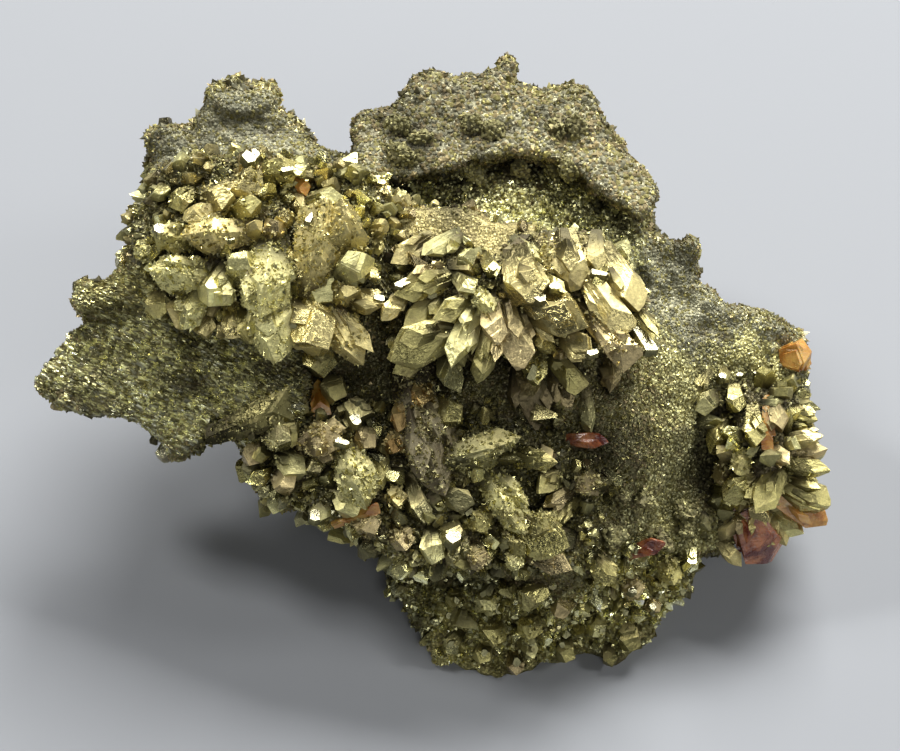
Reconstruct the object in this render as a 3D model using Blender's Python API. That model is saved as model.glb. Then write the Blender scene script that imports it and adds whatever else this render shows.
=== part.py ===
"""Chalcopyrite specimen: one grown mass with small sphalerite crystals seated in it.

The mass is modelled in a face frame, in millimetres: u runs to the right, v up the sloping
face and w out of the face. The face leans back from the vertical by FACE_LEAN, and what lies
deeper is spread outward a little by SPREAD. The world frame is in metres, +Z up, and the
specimen rests on its broken base at z = 0.
"""
import math
import random

import bmesh
import bpy
from mathutils import Matrix, Vector, noise
from mathutils.bvhtree import BVHTree

MM = 0.001

# Driving dimensions, in millimetres and degrees.
FACE_LEAN = 40.0          # the face leans back from the vertical
SPREAD = 1.0 / 300.0      # widening for each millimetre of depth
FLOOR_DROP = 38.5         # from the face frame's origin down to the base
CENTRE_X = -2.05          # middle of the plan, seen from the face frame's origin
CENTRE_Y = 17.7
SEAT_GAP = 0.3            # clearance round a seated sphalerite crystal
BACK_CHANGE = (0.75, 1.25)    # by how much a ledge's thickness changes round its outline
VOXEL = 0.9               # fusing resolution of the body
BODY_FACES = 2650         # triangles kept in the body before the crystals
RELIEF = ((9.0, 1.0), (3.6, 0.6))    # wavelength and height of the body's lumps
BACK_RELIEF = ((15.0, 3.4), (6.0, 1.5))   # the same for its broken back
BACK_FROM = -20.0         # depth w where the broken back begins
BACK_FULL = -36.0         # depth w from which its relief is whole
ABOVE_FACE = 40.0         # a depth w in front of everything
USUAL_DEPTH = -14.0       # depth w where a ledge's edge is looked for
ROOT_DEPTH = 0.35         # share of a crystal's length below its root
ROOT_EXTRA = 0.8          # extra root length
NEARLY_PARALLEL = 0.15    # sine under which a crystal counts as facing straight out
BLANK = 60.0              # cube from which a crystal is cut
REACH_CHANGE = (0.93, 1.04)   # by how much a side face moves in or out
SHOULDER_CHANGE = 0.06    # by how much a tip face's shoulder moves
GIRDLE = 0.4              # height, over the length, where the side faces reach full width

# Outlines of the ledges, in (u, v). Each has its front depth w at (u0, v0), the change of w
# along u and v, and its thickness.
LEDGES = {
    "wing": (
        ((-51.4, -1.2), (-50, 0.8), (-47.6, 4.6), (-45.5, 6), (-40, 7.5), (-30, 8), (-18, 4),
         (-18, -5), (-26, -8.5), (-29, -7.4), (-32, -8.7), (-34.8, -10.2), (-36.6, -7.6),
         (-40.3, -5.4), (-44, -5.8), (-47.7, -4), (-49.6, -1.9)),
        (-25, 0, -5.5), (0.30, -0.02), 5.0),
    "left_lobe": (
        ((-47.2, 9.4), (-46.3, 12), (-43.8, 11), (-41.2, 13), (-37, 13.4), (-35, 7),
         (-41, 7.2), (-45.8, 7.6)),
        (-42, 10, -9), (0.15, 0.0), 7.0),
    "ridge_left": (
        ((-40, 13.8), (-40, 20.4), (-38, 23.2), (-36.6, 26), (-30, 26.8), (-25, 27.2),
         (-15, 26), (-10, 24.4), (-7, 21), (-7, 9), (-12, 5), (-22, 4.5), (-32, 7), (-37, 9)),
        (-25, 15, -6), (0.0, -0.12), 13.0),
    "ridge_right": (
        ((-9, 12), (-8, 21), (-3, 20.5), (3, 20.2), (8, 18.5), (14, 17.7), (18.7, 17.2),
         (21.6, 14.2), (23.6, 10.5), (24, 6), (21, 4), (12, 3), (5, 3), (-3, 3), (-8, 5)),
        (8, 10, -4), (0.0, -0.2), 14.0),
    "fin": (
        ((-37.3, 31), (-34.4, 30.7), (-31.6, 29.6), (-30.8, 33), (-30, 34.9), (-27, 37.3),
         (-24.6, 34.9), (-22.6, 36), (-21.3, 32.4), (-20, 30), (-18.6, 29.8),
         (-16, 27.3), (-13, 27.6), (-11, 25), (-12, 18), (-34, 18), (-36.8, 25.4)),
        (-26, 30, -21), (0.05, -0.25), 9.0),
    "terrace": (
        ((-27.5, -6.2), (-24.8, -10.4), (-23.2, -14.2), (-21.4, -16), (-18.2, -16),
         (-14.4, -18), (-12, -19.7), (-8.6, -21.8), (-5.5, -23.4), (1, -23.6), (8, -23.4),
         (14, -24.4), (18, -21), (19.5, -13), (15, -4.5), (0, -2.5), (-10, -2.5),
         (-20, -1.5), (-26, -1.5)),
        (-8, -12, -6.5), (-0.06, -0.22), 20.0),
    "bottom_lobe": (
        ((-7.2, -26), (-5, -28), (-4.4, -30), (-2.6, -34), (-1, -36.4), (3, -37),
         (6, -38.8), (9.5, -37), (13, -35.8), (17.5, -35), (20, -36.6), (23.8, -34.6),
         (25, -32), (26.4, -28), (30, -27.4), (29.4, -22), (18, -18), (0, -20),
         (-5, -23)),
        (9, -30, -16.5), (-0.05, 0.12), 16.0),
    "slope": (
        ((21, 18), (24.4, 18.4), (24.2, 16.3), (28, 15.8), (30.4, 16.8), (31, 12.8),
         (31.8, 11.1), (35.4, 8.7), (39, 7.3), (42, 5.6), (43.9, 4.2), (44.6, 0.5),
         (43.6, -4), (43, -12), (38, -18), (33.6, -21.6), (29.3, -22), (22, -22), (16, -16),
         (14, 0), (16, 10)),
        (28, 0, -18), (-0.08, -0.12), 12.0),
    "dome": (
        ((-12.4, 29.8), (-11.3, 33.2), (-7, 33.2), (-5.2, 34.6), (-4.9, 36.6), (-2.7, 37.6),
         (1, 37.2), (5, 38.8), (7.4, 39.4), (7.4, 36.2), (8.6, 35.1), (12.5, 34.3),
         (14.5, 36), (17.4, 34.2), (18.4, 31), (22, 27.4), (24.8, 24.5), (25.8, 22.2),
         (24, 19), (22, 20.4), (19, 23), (15, 25.9), (11, 27.8), (5, 27.2), (0, 25.4),
         (-5, 24.5), (-11, 25.5)),
        (8, 29, -18), (-0.05, -0.85), 6.5),
    "hollow_floor": (
        ((-11, 20), (-11, 27), (-4, 30), (6, 31), (15, 30), (21, 26), (23.6, 19), (23.6, 14),
         (10, 12), (0, 14)),
        (12, 20, -22), (0.0, -1.0), 7.0),
}

# Rounded lumps in the face frame: centre (u, v, w) and radii along u, v and w.
FACE_LUMPS = (
    ((-27, 16, -11), (12, 10, 8.5)),
    ((-14, 14, -10), (8, 10, 7.5)),
    ((-22, 7, -9), (9, 4.5, 5.5)),
    ((8, 10, -10), (15, 7.5, 7.5)),
    ((-2, 7, -9), (7, 6, 5.5)),
    ((18, 9, -9), (6.5, 6.5, 5.5)),
    ((8, -11, -14), (14, 10, 7)),
    ((-14, -9, -12), (12, 8, 7)),
    ((10, -28, -24), (14, 8, 9)),
    ((38.5, -9, -22), (7.5, 10.5, 8.5)),
    ((34, 2, -26), (9, 8, 8)),
    ((2, 31, -31), (12, 6.5, 9)),
    ((16, 28, -27), (7, 5, 7)),
    ((-26, 27, -28), (9, 8, 8)),
)

# Rounded lumps of the core and the back, from a point of the base below the face frame's
# origin: centre and radii along x, y and z.
CORE_LUMPS = (
    ((8, 14, 16), (29, 24, 20)),
    ((-13, 19, 27), (19, 15, 18)),
    ((8, 33, 22), (21, 15, 18)),
    ((12, -3, 11), (15, 12, 13)),
    ((29, 15, 14), (14, 13, 13)),
    ((-3, 25, 11), (20, 16, 14)),
    ((-24, 31, 36), (11, 9, 11)),
    ((-2, 43, 27), (12, 9, 14)),
    ((13, 43, 27), (13, 10, 14)),
    ((19, 31, 17), (14, 11, 13)),
    ((37, 16, 19), (9, 8, 8)),
    ((-17, 36, 27), (12, 8, 12)),
    ((4, 38, 13), (17, 9, 13)),
    ((-30, 25, 37), (9, 9, 9)),
)

# Large crystals: root (u, v), tip (u, v), rise of the tip out of the face, width and habit.
RIDGE_LEFT_CRYSTALS = (
    (-25.6, 25.0, -24.8, 28.0, 2.0, 2.4, "block"),
    (-21.5, 24.5, -20.8, 26.9, 2.4, 3.8, "block"),
    (-28.5, 23.2, -23.6, 24.2, 1.6, 2.5, "prism"),
    (-29.6, 21.8, -27.4, 22.4, 2.2, 2.8, "block"),
    (-26.6, 20.4, -24.0, 21.6, 2.2, 2.5, "block"),
    (-19.8, 23.0, -17.8, 20.3, 2.4, 2.1, "blade"),
    (-17.2, 21.5, -13.8, 22.3, 2.4, 2.7, "block"),
    (-13.0, 15.8, -13.6, 21.4, 3.4, 3.9, "block"),
    (-17.0, 12.8, -15.9, 20.6, 3.8, 5.4, "round"),
    (-21.4, 19.0, -20.0, 20.3, 2.0, 1.9, "block"),
    (-29.5, 20.0, -33.0, 19.4, 2.4, 2.8, "block"),
    (-27.0, 17.8, -32.5, 17.4, 2.2, 4.0, "round"),
    (-32.8, 16.8, -36.3, 17.6, 2.0, 3.0, "round"),
    (-31.0, 12.5, -36.4, 13.0, 2.4, 4.0, "round"),
    (-26.6, 12.0, -25.6, 15.2, 2.8, 3.3, "block"),
    (-28.5, 12.2, -30.2, 8.4, 2.8, 4.3, "spear"),
    (-22.4, 14.6, -23.4, 8.2, 3.6, 5.8, "round"),
    (-31.0, 10.3, -33.8, 5.6, 2.4, 3.2, "spear"),
    (-30.8, 7.4, -30.2, 4.9, 1.2, 2.6, "block"),
    (-27.3, 9.0, -27.0, 4.8, 2.2, 2.0, "prism"),
    (-25.6, 7.6, -25.0, 4.3, 2.0, 2.2, "block"),
    (-22.4, 8.6, -21.9, 1.0, 3.0, 5.2, "spear"),
    (-20.3, 11.0, -14.8, 10.8, 2.8, 3.3, "prism"),
    (-18.6, 8.0, -15.4, 3.6, 3.8, 5.2, "block"),
    (-15.0, 7.6, -10.4, 1.3, 3.0, 4.0, "spear"),
    (-16.6, 3.8, -15.9, 0.2, 1.6, 3.6, "block"),
    (-14.5, 10.1, -11.2, 10.7, 3.0, 2.9, "spear"),
    (-12.5, 9.6, -8.3, 9.1, 2.8, 2.8, "spear"),
    (-13.7, 7.8, -11.2, 5.8, 2.6, 2.2, "blade"),
    (-13.0, 13.0, -10.7, 14.8, 2.6, 3.6, "block"),
    (-9.6, 17.5, -8.0, 19.5, 1.8, 2.1, "blade"),
    (-38.2, 16.2, -38.4, 14.8, 1.8, 2.2, "block"),
    (-36.4, 9.4, -36.8, 7.4, 1.8, 2.6, "block"),
    (-24.7, 17.4, -24.4, 19.2, 1.8, 1.8, "block"),
    (-22.4, 17.6, -21.6, 19.4, 1.8, 2.6, "block"),
    (-32.6, 22.4, -34.6, 21.2, 1.6, 2.6, "block"),
)
RIDGE_RIGHT_CRYSTALS = (
    (-3.8, 16.5, -7.5, 14.0, 2.4, 2.6, "wedge"),
    (0.5, 17.2, -3.5, 14.8, 2.6, 2.6, "blade"),
    (-1.0, 12.2, -7.2, 10.2, 3.2, 3.5, "wedge"),
    (-1.0, 13.3, -4.8, 12.6, 2.8, 1.9, "blade"),
    (-6.0, 9.6, -8.3, 7.2, 2.0, 2.1, "block"),
    (-2.5, 9.0, -5.8, 5.3, 2.6, 2.8, "wedge"),
    (-0.4, 5.4, -8.0, 2.1, 3.2, 5.2, "wedge"),
    (2.5, 9.4, -2.3, 7.1, 3.0, 2.7, "wedge"),
    (3.0, 8.4, 0.2, 1.0, 3.4, 3.1, "blade"),
    (5.0, 5.2, 3.7, -1.3, 2.2, 2.7, "blade"),
    (7.4, 7.6, 8.7, 0.2, 3.4, 4.3, "wedge"),
    (5.3, 8.8, 5.8, 4.3, 3.2, 2.9, "block"),
    (3.6, 10.2, 5.0, 8.4, 2.6, 2.3, "round"),
    (9.0, 13.6, 9.9, 9.4, 3.8, 4.5, "block"),
    (10.4, 3.4, 10.7, -0.7, 3.0, 2.9, "block"),
    (10.2, 8.5, 17.5, 6.2, 3.8, 4.7, "wedge"),
    (14.8, 15.4, 15.6, 10.3, 3.2, 4.4, "spear"),
    (18.3, 16.3, 18.3, 13.4, 2.4, 2.3, "block"),
    (12.6, 16.0, 12.9, 13.2, 2.6, 2.5, "round"),
    (8.4, 16.6, 11.8, 14.1, 2.6, 1.9, "blade"),
    (8.8, 16.0, 6.3, 13.0, 2.2, 2.7, "wedge"),
    (17.3, 12.5, 22.0, 5.8, 3.0, 3.0, "prism"),
    (20.3, 13.4, 23.9, 7.7, 3.2, 3.9, "spear"),
    (23.2, 8.0, 25.6, 1.9, 2.6, 2.3, "blade"),
    (18.1, 6.9, 22.9, 1.8, 2.8, 3.2, "prism"),
    (20.9, 3.2, 18.9, -4.3, 2.4, 2.8, "blade"),
    (12.3, 2.9, 16.3, -1.7, 2.8, 2.3, "prism"),
    (14.4, 4.6, 17.9, 2.3, 2.8, 3.1, "wedge"),
    (11.0, 5.6, 12.3, 2.8, 2.6, 1.8, "block"),
    (9.0, 0.9, 10.8, -7.1, 2.0, 3.9, "spear"),
    (17.0, -2.4, 17.6, -7.7, 1.0, 1.9, "blade"),
    (13.0, -0.4, 15.2, -4.4, 1.0, 2.8, "wedge"),
    (12.0, 12.1, 14.1, 10.5, 3.0, 1.9, "block"),
    (1.2, 12.0, 2.8, 10.4, 2.4, 2.3, "block"),
    (4.6, 14.4, 5.6, 12.6, 2.4, 1.9, "block"),
)
TERRACE_CRYSTALS = (
    (-26.6, -6.1, -18.3, -2.8, 2.2, 3.4, "prism"),
    (-11.9, -4.6, -12.1, -5.4, 3.2, 4.0, "octa"),
    (-14.3, -1.0, -14.6, -3.0, 2.4, 3.0, "block"),
    (-16.8, -8.4, -13.2, -8.4, 3.0, 4.6, "octa"),
    (-22.2, -7.2, -20.2, -8.2, 2.2, 3.0, "block"),
    (-10.2, -7.2, -10.8, -8.8, 2.4, 2.7, "block"),
    (-6.6, -7.6, -7.0, -9.4, 2.6, 2.6, "block"),
    (-4.6, -2.4, -1.8, -12.9, 3.0, 5.5, "round"),
    (0.6, -10.1, 7.4, -8.2, 2.4, 3.5, "round"),
    (-1.0, -3.9, 1.3, -5.6, 1.8, 3.0, "block"),
    (-12.4, -11.0, -10.6, -15.6, 3.0, 4.7, "round"),
    (-13.6, -14.8, -12.0, -17.4, 1.8, 3.0, "block"),
    (-6.6, -15.0, -6.4, -16.2, 2.8, 2.6, "octa"),
    (-4.6, -14.6, -3.3, -18.6, 2.4, 2.9, "spear"),
    (-22.2, -14.6, -22.8, -15.8, 1.6, 2.4, "octa"),
    (-16.3, -16.8, -16.6, -18.2, 1.8, 2.6, "octa"),
    (-20.6, -10.4, -18.5, -12.1, 2.4, 3.0, "block"),
    (-21.0, -12.6, -19.8, -14.0, 2.0, 2.7, "block"),
    (-17.6, -10.6, -16.4, -12.0, 2.2, 2.3, "block"),
    (-8.7, -9.4, -8.5, -14.4, 1.8, 1.9, "blade"),
    (-0.6, -14.9, 3.1, -16.1, 2.6, 2.8, "wedge"),
    (0.3, -19.0, 0.5, -20.6, 3.2, 2.6, "block"),
    (-2.0, -20.2, -2.2, -23.2, 2.0, 2.8, "block"),
    (1.2, -20.8, 0.5, -24.2, 2.0, 2.7, "spear"),
    (3.4, -21.8, 3.8, -23.8, 2.0, 2.5, "block"),
    (8.0, -21.6, 8.2, -24.2, 1.8, 2.0, "block"),
    (12.6, -12.8, 11.1, -14.6, 2.8, 2.8, "octa"),
    (15.3, -14.2, 11.6, -16.6, 2.6, 1.9, "blade"),
    (5.4, -13.2, 8.6, -18.6, 2.4, 3.5, "round"),
    (8.4, -18.9, 15.1, -22.1, 3.2, 5.3, "wedge"),
    (10.8, -22.4, 15.3, -24.3, 1.8, 2.9, "wedge"),
    (17.2, -12.8, 17.0, -14.4, 2.0, 3.0, "round"),
    (8.4, -10.2, 13.6, -10.9, 2.0, 2.4, "blade"),
    (18.0, -23.0, 20.6, -26.0, 2.0, 3.0, "wedge"),
    (-24.4, -9.2, -25.0, -11.0, 1.6, 2.4, "block"),
    (-10.8, -17.6, -9.6, -19.6, 1.8, 2.8, "block"),
    (-6.4, -19.4, -5.4, -22.0, 2.0, 2.8, "spear"),
    (4.4, -17.4, 3.2, -19.2, 2.2, 2.6, "block"),
)
BOTTOM_CRYSTALS = (
    (10.6, -26.6, 10.8, -28.6, 2.4, 3.2, "block"),
    (4.8, -27.6, 4.4, -29.4, 2.0, 2.6, "block"),
    (5.6, -31.2, 5.4, -33.4, 2.4, 3.0, "block"),
    (10.4, -30.2, 9.6, -32.6, 2.0, 2.7, "block"),
    (0.8, -33.0, -0.4, -34.6, 1.4, 2.0, "block"),
    (4.4, -34.0, 3.8, -35.8, 1.6, 2.2, "block"),
    (8.0, -35.2, 8.2, -37.2, 1.4, 2.0, "block"),
    (14.6, -33.6, 14.4, -35.6, 1.6, 2.3, "block"),
    (14.8, -28.4, 13.2, -29.8, 2.0, 2.2, "block"),
    (18.6, -30.8, 18.0, -32.8, 2.0, 2.4, "spear"),
    (22.6, -32.0, 22.4, -34.2, 1.4, 2.7, "block"),
    (24.8, -28.2, 26.0, -29.4, 1.4, 1.8, "block"),
    (19.8, -34.2, 20.2, -36.2, 1.0, 1.8, "block"),
    (26.8, -23.4, 27.8, -25.6, 1.8, 2.8, "round"),
    (0.6, -27.4, 0.2, -28.8, 1.8, 1.9, "block"),
    (22.4, -25.6, 23.4, -27.6, 1.8, 2.5, "block"),
)
CLUSTER_CRYSTALS = (
    (31.8, -0.6, 30.6, -2.4, 1.6, 1.9, "block"),
    (33.0, -3.0, 30.9, -4.1, 2.0, 2.6, "block"),
    (34.6, -6.4, 32.5, -9.9, 2.6, 3.1, "spear"),
    (35.6, -1.8, 35.9, -4.3, 2.4, 2.3, "block"),
    (38.0, -5.6, 38.3, -8.6, 3.0, 2.6, "block"),
    (40.6, -4.2, 41.6, -6.6, 2.2, 2.3, "block"),
    (42.4, -8.0, 46.8, -7.5, 1.0, 2.2, "spear"),
    (43.2, -9.6, 47.4, -9.3, 0.8, 1.9, "spear"),
    (42.4, -11.0, 47.6, -12.0, 1.0, 2.2, "spear"),
    (42.2, -13.8, 47.8, -16.4, 1.6, 4.0, "spear"),
    (40.6, -12.8, 38.2, -17.2, 3.0, 3.5, "wedge"),
    (37.6, -13.4, 33.9, -15.4, 2.4, 3.3, "spear"),
    (40.4, -16.8, 44.4, -19.9, 1.6, 2.7, "blade"),
    (40.0, -17.0, 42.2, -21.3, 1.2, 2.3, "blade"),
    (39.2, -16.8, 37.1, -20.9, 1.6, 2.7, "spear"),
    (36.6, -17.2, 35.8, -19.6, 1.4, 2.3, "block"),
    (43.0, -4.9, 46.0, -5.6, 0.8, 1.9, "spear"),
    (36.6, -9.8, 36.2, -12.0, 2.4, 2.2, "round"),
    (40.6, -9.4, 42.4, -11.0, 2.4, 2.2, "spear"),
    (34.4, -11.2, 33.8, -13.4, 1.8, 2.2, "round"),
)

# Habits: thickness over width, side faces (direction in degrees, reach), tip faces (direction
# in degrees, height of the shoulder, reach at the tip). Direction 90 looks out of the face.
HABITS = {
    "spear": (0.80, ((10, 1.0), (80, 0.95), (150, 1.0), (225, 0.95), (300, 0.95)),
              ((50, 0.42, 0.02), (165, 0.55, 0.04), (285, 0.35, 0.06))),
    "wedge": (0.72, ((0, 1.0), (60, 0.95), (125, 0.95), (185, 1.0), (270, 0.9)),
              ((95, 0.15, 0.10), (200, 0.55, 0.05), (335, 0.62, 0.05))),
    "blade": (0.45, ((0, 1.0), (70, 0.9), (115, 0.9), (180, 1.0), (270, 0.9)),
              ((20, 0.55, 0.03), (150, 0.62, 0.08), (275, 0.4, 0.1))),
    "block": (0.88, ((15, 1.0), (95, 0.95), (185, 1.0), (280, 0.95)),
              ((70, 0.62, 0.36), (185, 0.72, 0.32), (310, 0.55, 0.30))),
    "prism": (0.85, ((0, 1.0), (60, 0.95), (120, 1.0), (195, 0.95), (270, 0.95)),
              ((95, 0.72, 0.15), (270, 0.80, 0.22))),
    "octa": (1.0, ((45, 1.0), (135, 1.0), (225, 1.0), (315, 1.0)),
             ((80, 0.20, 0.16), (195, 0.25, 0.12), (320, 0.22, 0.14))),
    "round": (0.9, ((0, 1.0), (60, 0.97), (120, 1.0), (190, 0.97), (270, 1.0)),
              ((40, 0.5, 0.35), (150, 0.55, 0.38), (270, 0.5, 0.36))),
    "chip": (0.9, ((20, 1.0), (110, 0.95), (195, 1.0), (290, 0.9)),
             ((60, 0.45, 0.25), (220, 0.5, 0.2))),
    "point": (0.8, ((0, 1.0), (120, 1.0), (240, 1.0)),
              ((60, 0.3, 0.1), (180, 0.4, 0.08), (300, 0.35, 0.1))),
}
SMALL_HABITS = ("chip", "chip", "octa", "point")
ROOT_TAPER = 0.37         # narrowing of a crystal toward its root
FACE_JITTER = 7.0         # degrees by which a crystal face turns from its habit

# Fields of smaller crystals: seed, corners of a (u, v) box, spacing, width range, length over
# width, and the heading that they lean to in (u, v).
FIELDS = (
    ("ridge left", (-39, 6, -9, 26), 5.0, (1.8, 2.8), 1.3, (-0.2, -0.5)),
    ("ridge right", (-8, -1, 24, 15), 5.2, (1.7, 2.6), 1.5, (0.1, -0.6)),
    ("terrace", (-26, -23, 18, -3), 5.0, (1.7, 2.8), 1.2, (-0.1, -0.5)),
    ("bottom", (-1, -36, 27, -23), 4.6, (1.6, 2.6), 1.2, (0.0, -0.6)),
    ("cluster", (32, -19, 46, 0), 4.2, (1.6, 2.4), 1.6, (0.2, -0.2)),
    ("valley", (19, -22, 31, -12), 4.0, (1.2, 2.0), 1.1, (0.0, -0.4)),
    ("dome", (-9, 24, 21, 35), 4.6, (2.0, 3.0), 0.7, (0.0, -0.2)),
)
FIELD_DEEPEST = -29.0     # deepest w of a crystal in these fields
CELL = (0.15, 0.85)       # part of a grid cell in which its crystal stands
FIELD_CLEAR = 0.55        # clear distance to other crystals over the spacing
BACK_CRYSTALS = 30        # crystals spread over the back and the sides
BACK_WIDTHS = (2.2, 4.4)
BACK_MIDDLE = (6, 2, 24)  # the directions of the back start from here
BACK_HEIGHTS = (-0.45, 0.65)  # upward part of those directions
BACK_CLEAR = 3.0          # clear distance to other crystals
FAR = 90.0                # a distance outside everything
LEAN = (0.5, 0.5, 0.3)    # how far the smaller crystals lean from the surface's normal
BACK_STRETCH = 0.6        # length over width
LOWEST = 8.0              # lowest place of a crystal on the back
FACE_SIDE = -0.3          # the back ends where directions turn this near to the face

# Sphalerite crystals: root, tip, rise, width, habit.
SPHALERITES = {
    "sphalerite_low_right": (43.2, -17.8, 46.6, -18.4, -0.6, 3.0, "block"),
    "sphalerite_red": (40.2, -20.8, 39.9, -22.9, -0.6, 5.4, "block"),
    "sphalerite_right_edge": (42.8, 2.6, 44.9, 2.8, 0.8, 3.6, "block"),
    "sphalerite_centre": (-16.4, -1.6, -16.0, -4.9, 2.2, 1.9, "prism"),
    "sphalerite_under_ledge": (15.6, -8.0, 20.0, -8.3, 1.4, 1.9, "wedge"),
    "sphalerite_lower": (22.8, -22.0, 27.2, -20.8, 1.4, 2.0, "wedge"),
    "sphalerite_sliver": (39.6, -5.0, 39.7, -9.2, 1.8, 1.3, "prism"),
    "sphalerite_upper": (-18.8, 25.0, -18.1, 22.7, 1.8, 1.7, "block"),
    "sphalerite_front": (-12.6, -18.0, -9.0, -16.6, 1.8, 1.3, "prism"),
}


# ---------------------------------------------------------------- frames

UP_FACE = Vector((0, math.cos(math.radians(FACE_LEAN)), math.sin(math.radians(FACE_LEAN))))
OUT_OF_FACE = Vector((0, -UP_FACE.z, UP_FACE.y))
RIGHT = Vector((1, 0, 0))
FACE_ORIGIN = Vector((-CENTRE_X, -CENTRE_Y, FLOOR_DROP))


def place(u, v, w):
    """World position, in millimetres, of a point of the face frame."""
    spread = 1.0 - w * SPREAD
    return RIGHT * (u * spread) + UP_FACE * (v * spread) + OUT_OF_FACE * w + FACE_ORIGIN


def line_into(u, v):
    """A line into the face along which u and v stay the same: start and direction."""
    start = place(u, v, ABOVE_FACE)
    return start, (place(u, v, 0) - start).normalized()


# ---------------------------------------------------------------- body

def add_ledge(bm, outline, anchor, slope, thickness):
    """Prism of a ledge's outline between its front and its uneven back."""
    u0, v0, w0 = anchor
    rng = random.Random(len(outline))
    front = []
    back = []
    for u, v in outline:
        w = w0 + slope[0] * (u - u0) + slope[1] * (v - v0)
        front.append(bm.verts.new(place(u, v, w)))
        back.append(bm.verts.new(place(u, v, w - thickness * rng.uniform(*BACK_CHANGE))))
    bm.faces.new(front)
    bm.faces.new(back[::-1])
    for i in range(len(front)):
        j = (i + 1) % len(front)
        bm.faces.new((front[j], front[i], back[i], back[j]))


def add_lump(bm, centre, radii, axes):
    """Ellipsoid with its radii along three axes."""
    turn = Matrix(axes).transposed().to_4x4()
    scale = Matrix.Diagonal((*radii, 1.0))
    matrix = Matrix.Translation(centre) @ turn @ scale
    bmesh.ops.create_icosphere(bm, subdivisions=3, radius=1.0, matrix=matrix)


def mesh_from(bm, name):
    """Hand the bmesh over to a new mesh, with its faces pointing out."""
    bmesh.ops.recalc_face_normals(bm, faces=bm.faces)
    mesh = bpy.data.meshes.new(name)
    bm.to_mesh(mesh)
    bm.free()
    return mesh


def add_object(name, mesh):
    obj = bpy.data.objects.new(name, mesh)
    bpy.context.scene.collection.objects.link(obj)
    return obj


def settle(obj, name):
    """Mesh of an object with its modifiers applied; the object itself goes."""
    depsgraph = bpy.context.evaluated_depsgraph_get()
    mesh = bpy.data.meshes.new_from_object(obj.evaluated_get(depsgraph))
    mesh.name = name
    bpy.data.objects.remove(obj)
    return mesh


def fused_body():
    """Ledges and lumps fused by remeshing."""
    bm = bmesh.new()
    for outline, anchor, slope, thickness in LEDGES.values():
        add_ledge(bm, outline, anchor, slope, thickness)
    for centre, radii in FACE_LUMPS:
        add_lump(bm, place(*centre), radii, (RIGHT, UP_FACE, OUT_OF_FACE))
    for centre, radii in CORE_LUMPS:
        place_on_base = Vector(centre) - Vector((CENTRE_X, CENTRE_Y, 0))
        add_lump(bm, place_on_base, radii, (RIGHT, Vector((0, 1, 0)), Vector((0, 0, 1))))
    return fused(mesh_from(bm, "ledges and lumps"))


def fused(mesh):
    """One skin round everything in the mesh."""
    body = add_object("body_guide", mesh)
    remesh = body.modifiers.new("fuse", "REMESH")
    remesh.mode = "VOXEL"
    remesh.voxel_size = VOXEL
    return settle(body, "fused")


def add_relief(mesh):
    """Push the surface in and out along its normals, more on the broken back."""
    normals = [vertex.normal.copy() for vertex in mesh.vertices]
    for vertex, normal in zip(mesh.vertices, normals):
        share = (face_depth(vertex.co) - BACK_FROM) / (BACK_FULL - BACK_FROM)
        share = min(1.0, max(0.0, share))
        spot = vertex.co - FACE_ORIGIN
        shift = sum(height * noise.noise(spot / length) for length, height in RELIEF)
        for length, height in BACK_RELIEF:
            shift += share * height * noise.noise(spot / length)
        vertex.co += normal * shift


def simplified(mesh, faces):
    """The mesh with about so many triangles."""
    body = add_object("relief_guide", mesh)
    collapse = body.modifiers.new("simplify", "DECIMATE")
    triangles = sum(len(polygon.vertices) - 2 for polygon in mesh.polygons)
    collapse.ratio = faces / triangles
    collapse.use_collapse_triangulate = True
    return settle(body, "body")


# ---------------------------------------------------------------- crystals

def habit_planes(habit, width, length, rng, grow=0.0):
    """Planes (normal, distance) of a crystal that grows along +Z, in millimetres."""
    thickness, sides, tips = HABITS[habit]
    scale = Vector((width / 2, width * thickness / 2, length))
    planes = [(Vector((0, 0, -1)), ROOT_DEPTH * length + ROOT_EXTRA + grow)]

    def add_plane(normal, point):
        stretched = Vector((normal.x / scale.x, normal.y / scale.y, normal.z / scale.z))
        distance = normal.dot(point) / stretched.length
        planes.append((stretched.normalized(), distance + grow))

    for direction, reach in sides:
        angle = math.radians(direction + rng.uniform(-FACE_JITTER, FACE_JITTER))
        reach *= rng.uniform(*REACH_CHANGE)
        out = Vector((math.cos(angle), math.sin(angle), 0))
        add_plane(out - Vector((0, 0, ROOT_TAPER * reach)), out * reach + Vector((0, 0, GIRDLE)))
    for direction, shoulder, reach in tips:
        angle = math.radians(direction + rng.uniform(-FACE_JITTER, FACE_JITTER))
        shoulder += rng.uniform(-SHOULDER_CHANGE, SHOULDER_CHANGE)
        out = Vector((math.cos(angle), math.sin(angle), 0))
        normal = out * (1 - shoulder) + Vector((0, 0, 1 - reach))
        add_plane(normal, out * reach + Vector((0, 0, 1)))
    return planes


def add_crystal(bm, planes, matrix):
    """Cube cut by each plane in turn and set in its place."""
    solid = bmesh.new()
    bmesh.ops.create_cube(solid, size=BLANK)
    for normal, distance in planes:
        parts = solid.verts[:] + solid.edges[:] + solid.faces[:]
        cut = bmesh.ops.bisect_plane(solid, geom=parts, plane_co=normal * distance,
                                     plane_no=normal, clear_outer=True)
        rim = [edge for edge in cut["geom_cut"] if isinstance(edge, bmesh.types.BMEdge)]
        if rim:
            bmesh.ops.edgenet_fill(solid, edges=rim)
    solid.transform(matrix)
    mesh = mesh_from(solid, "crystal")
    bm.from_mesh(mesh)
    bpy.data.meshes.remove(mesh)


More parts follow.
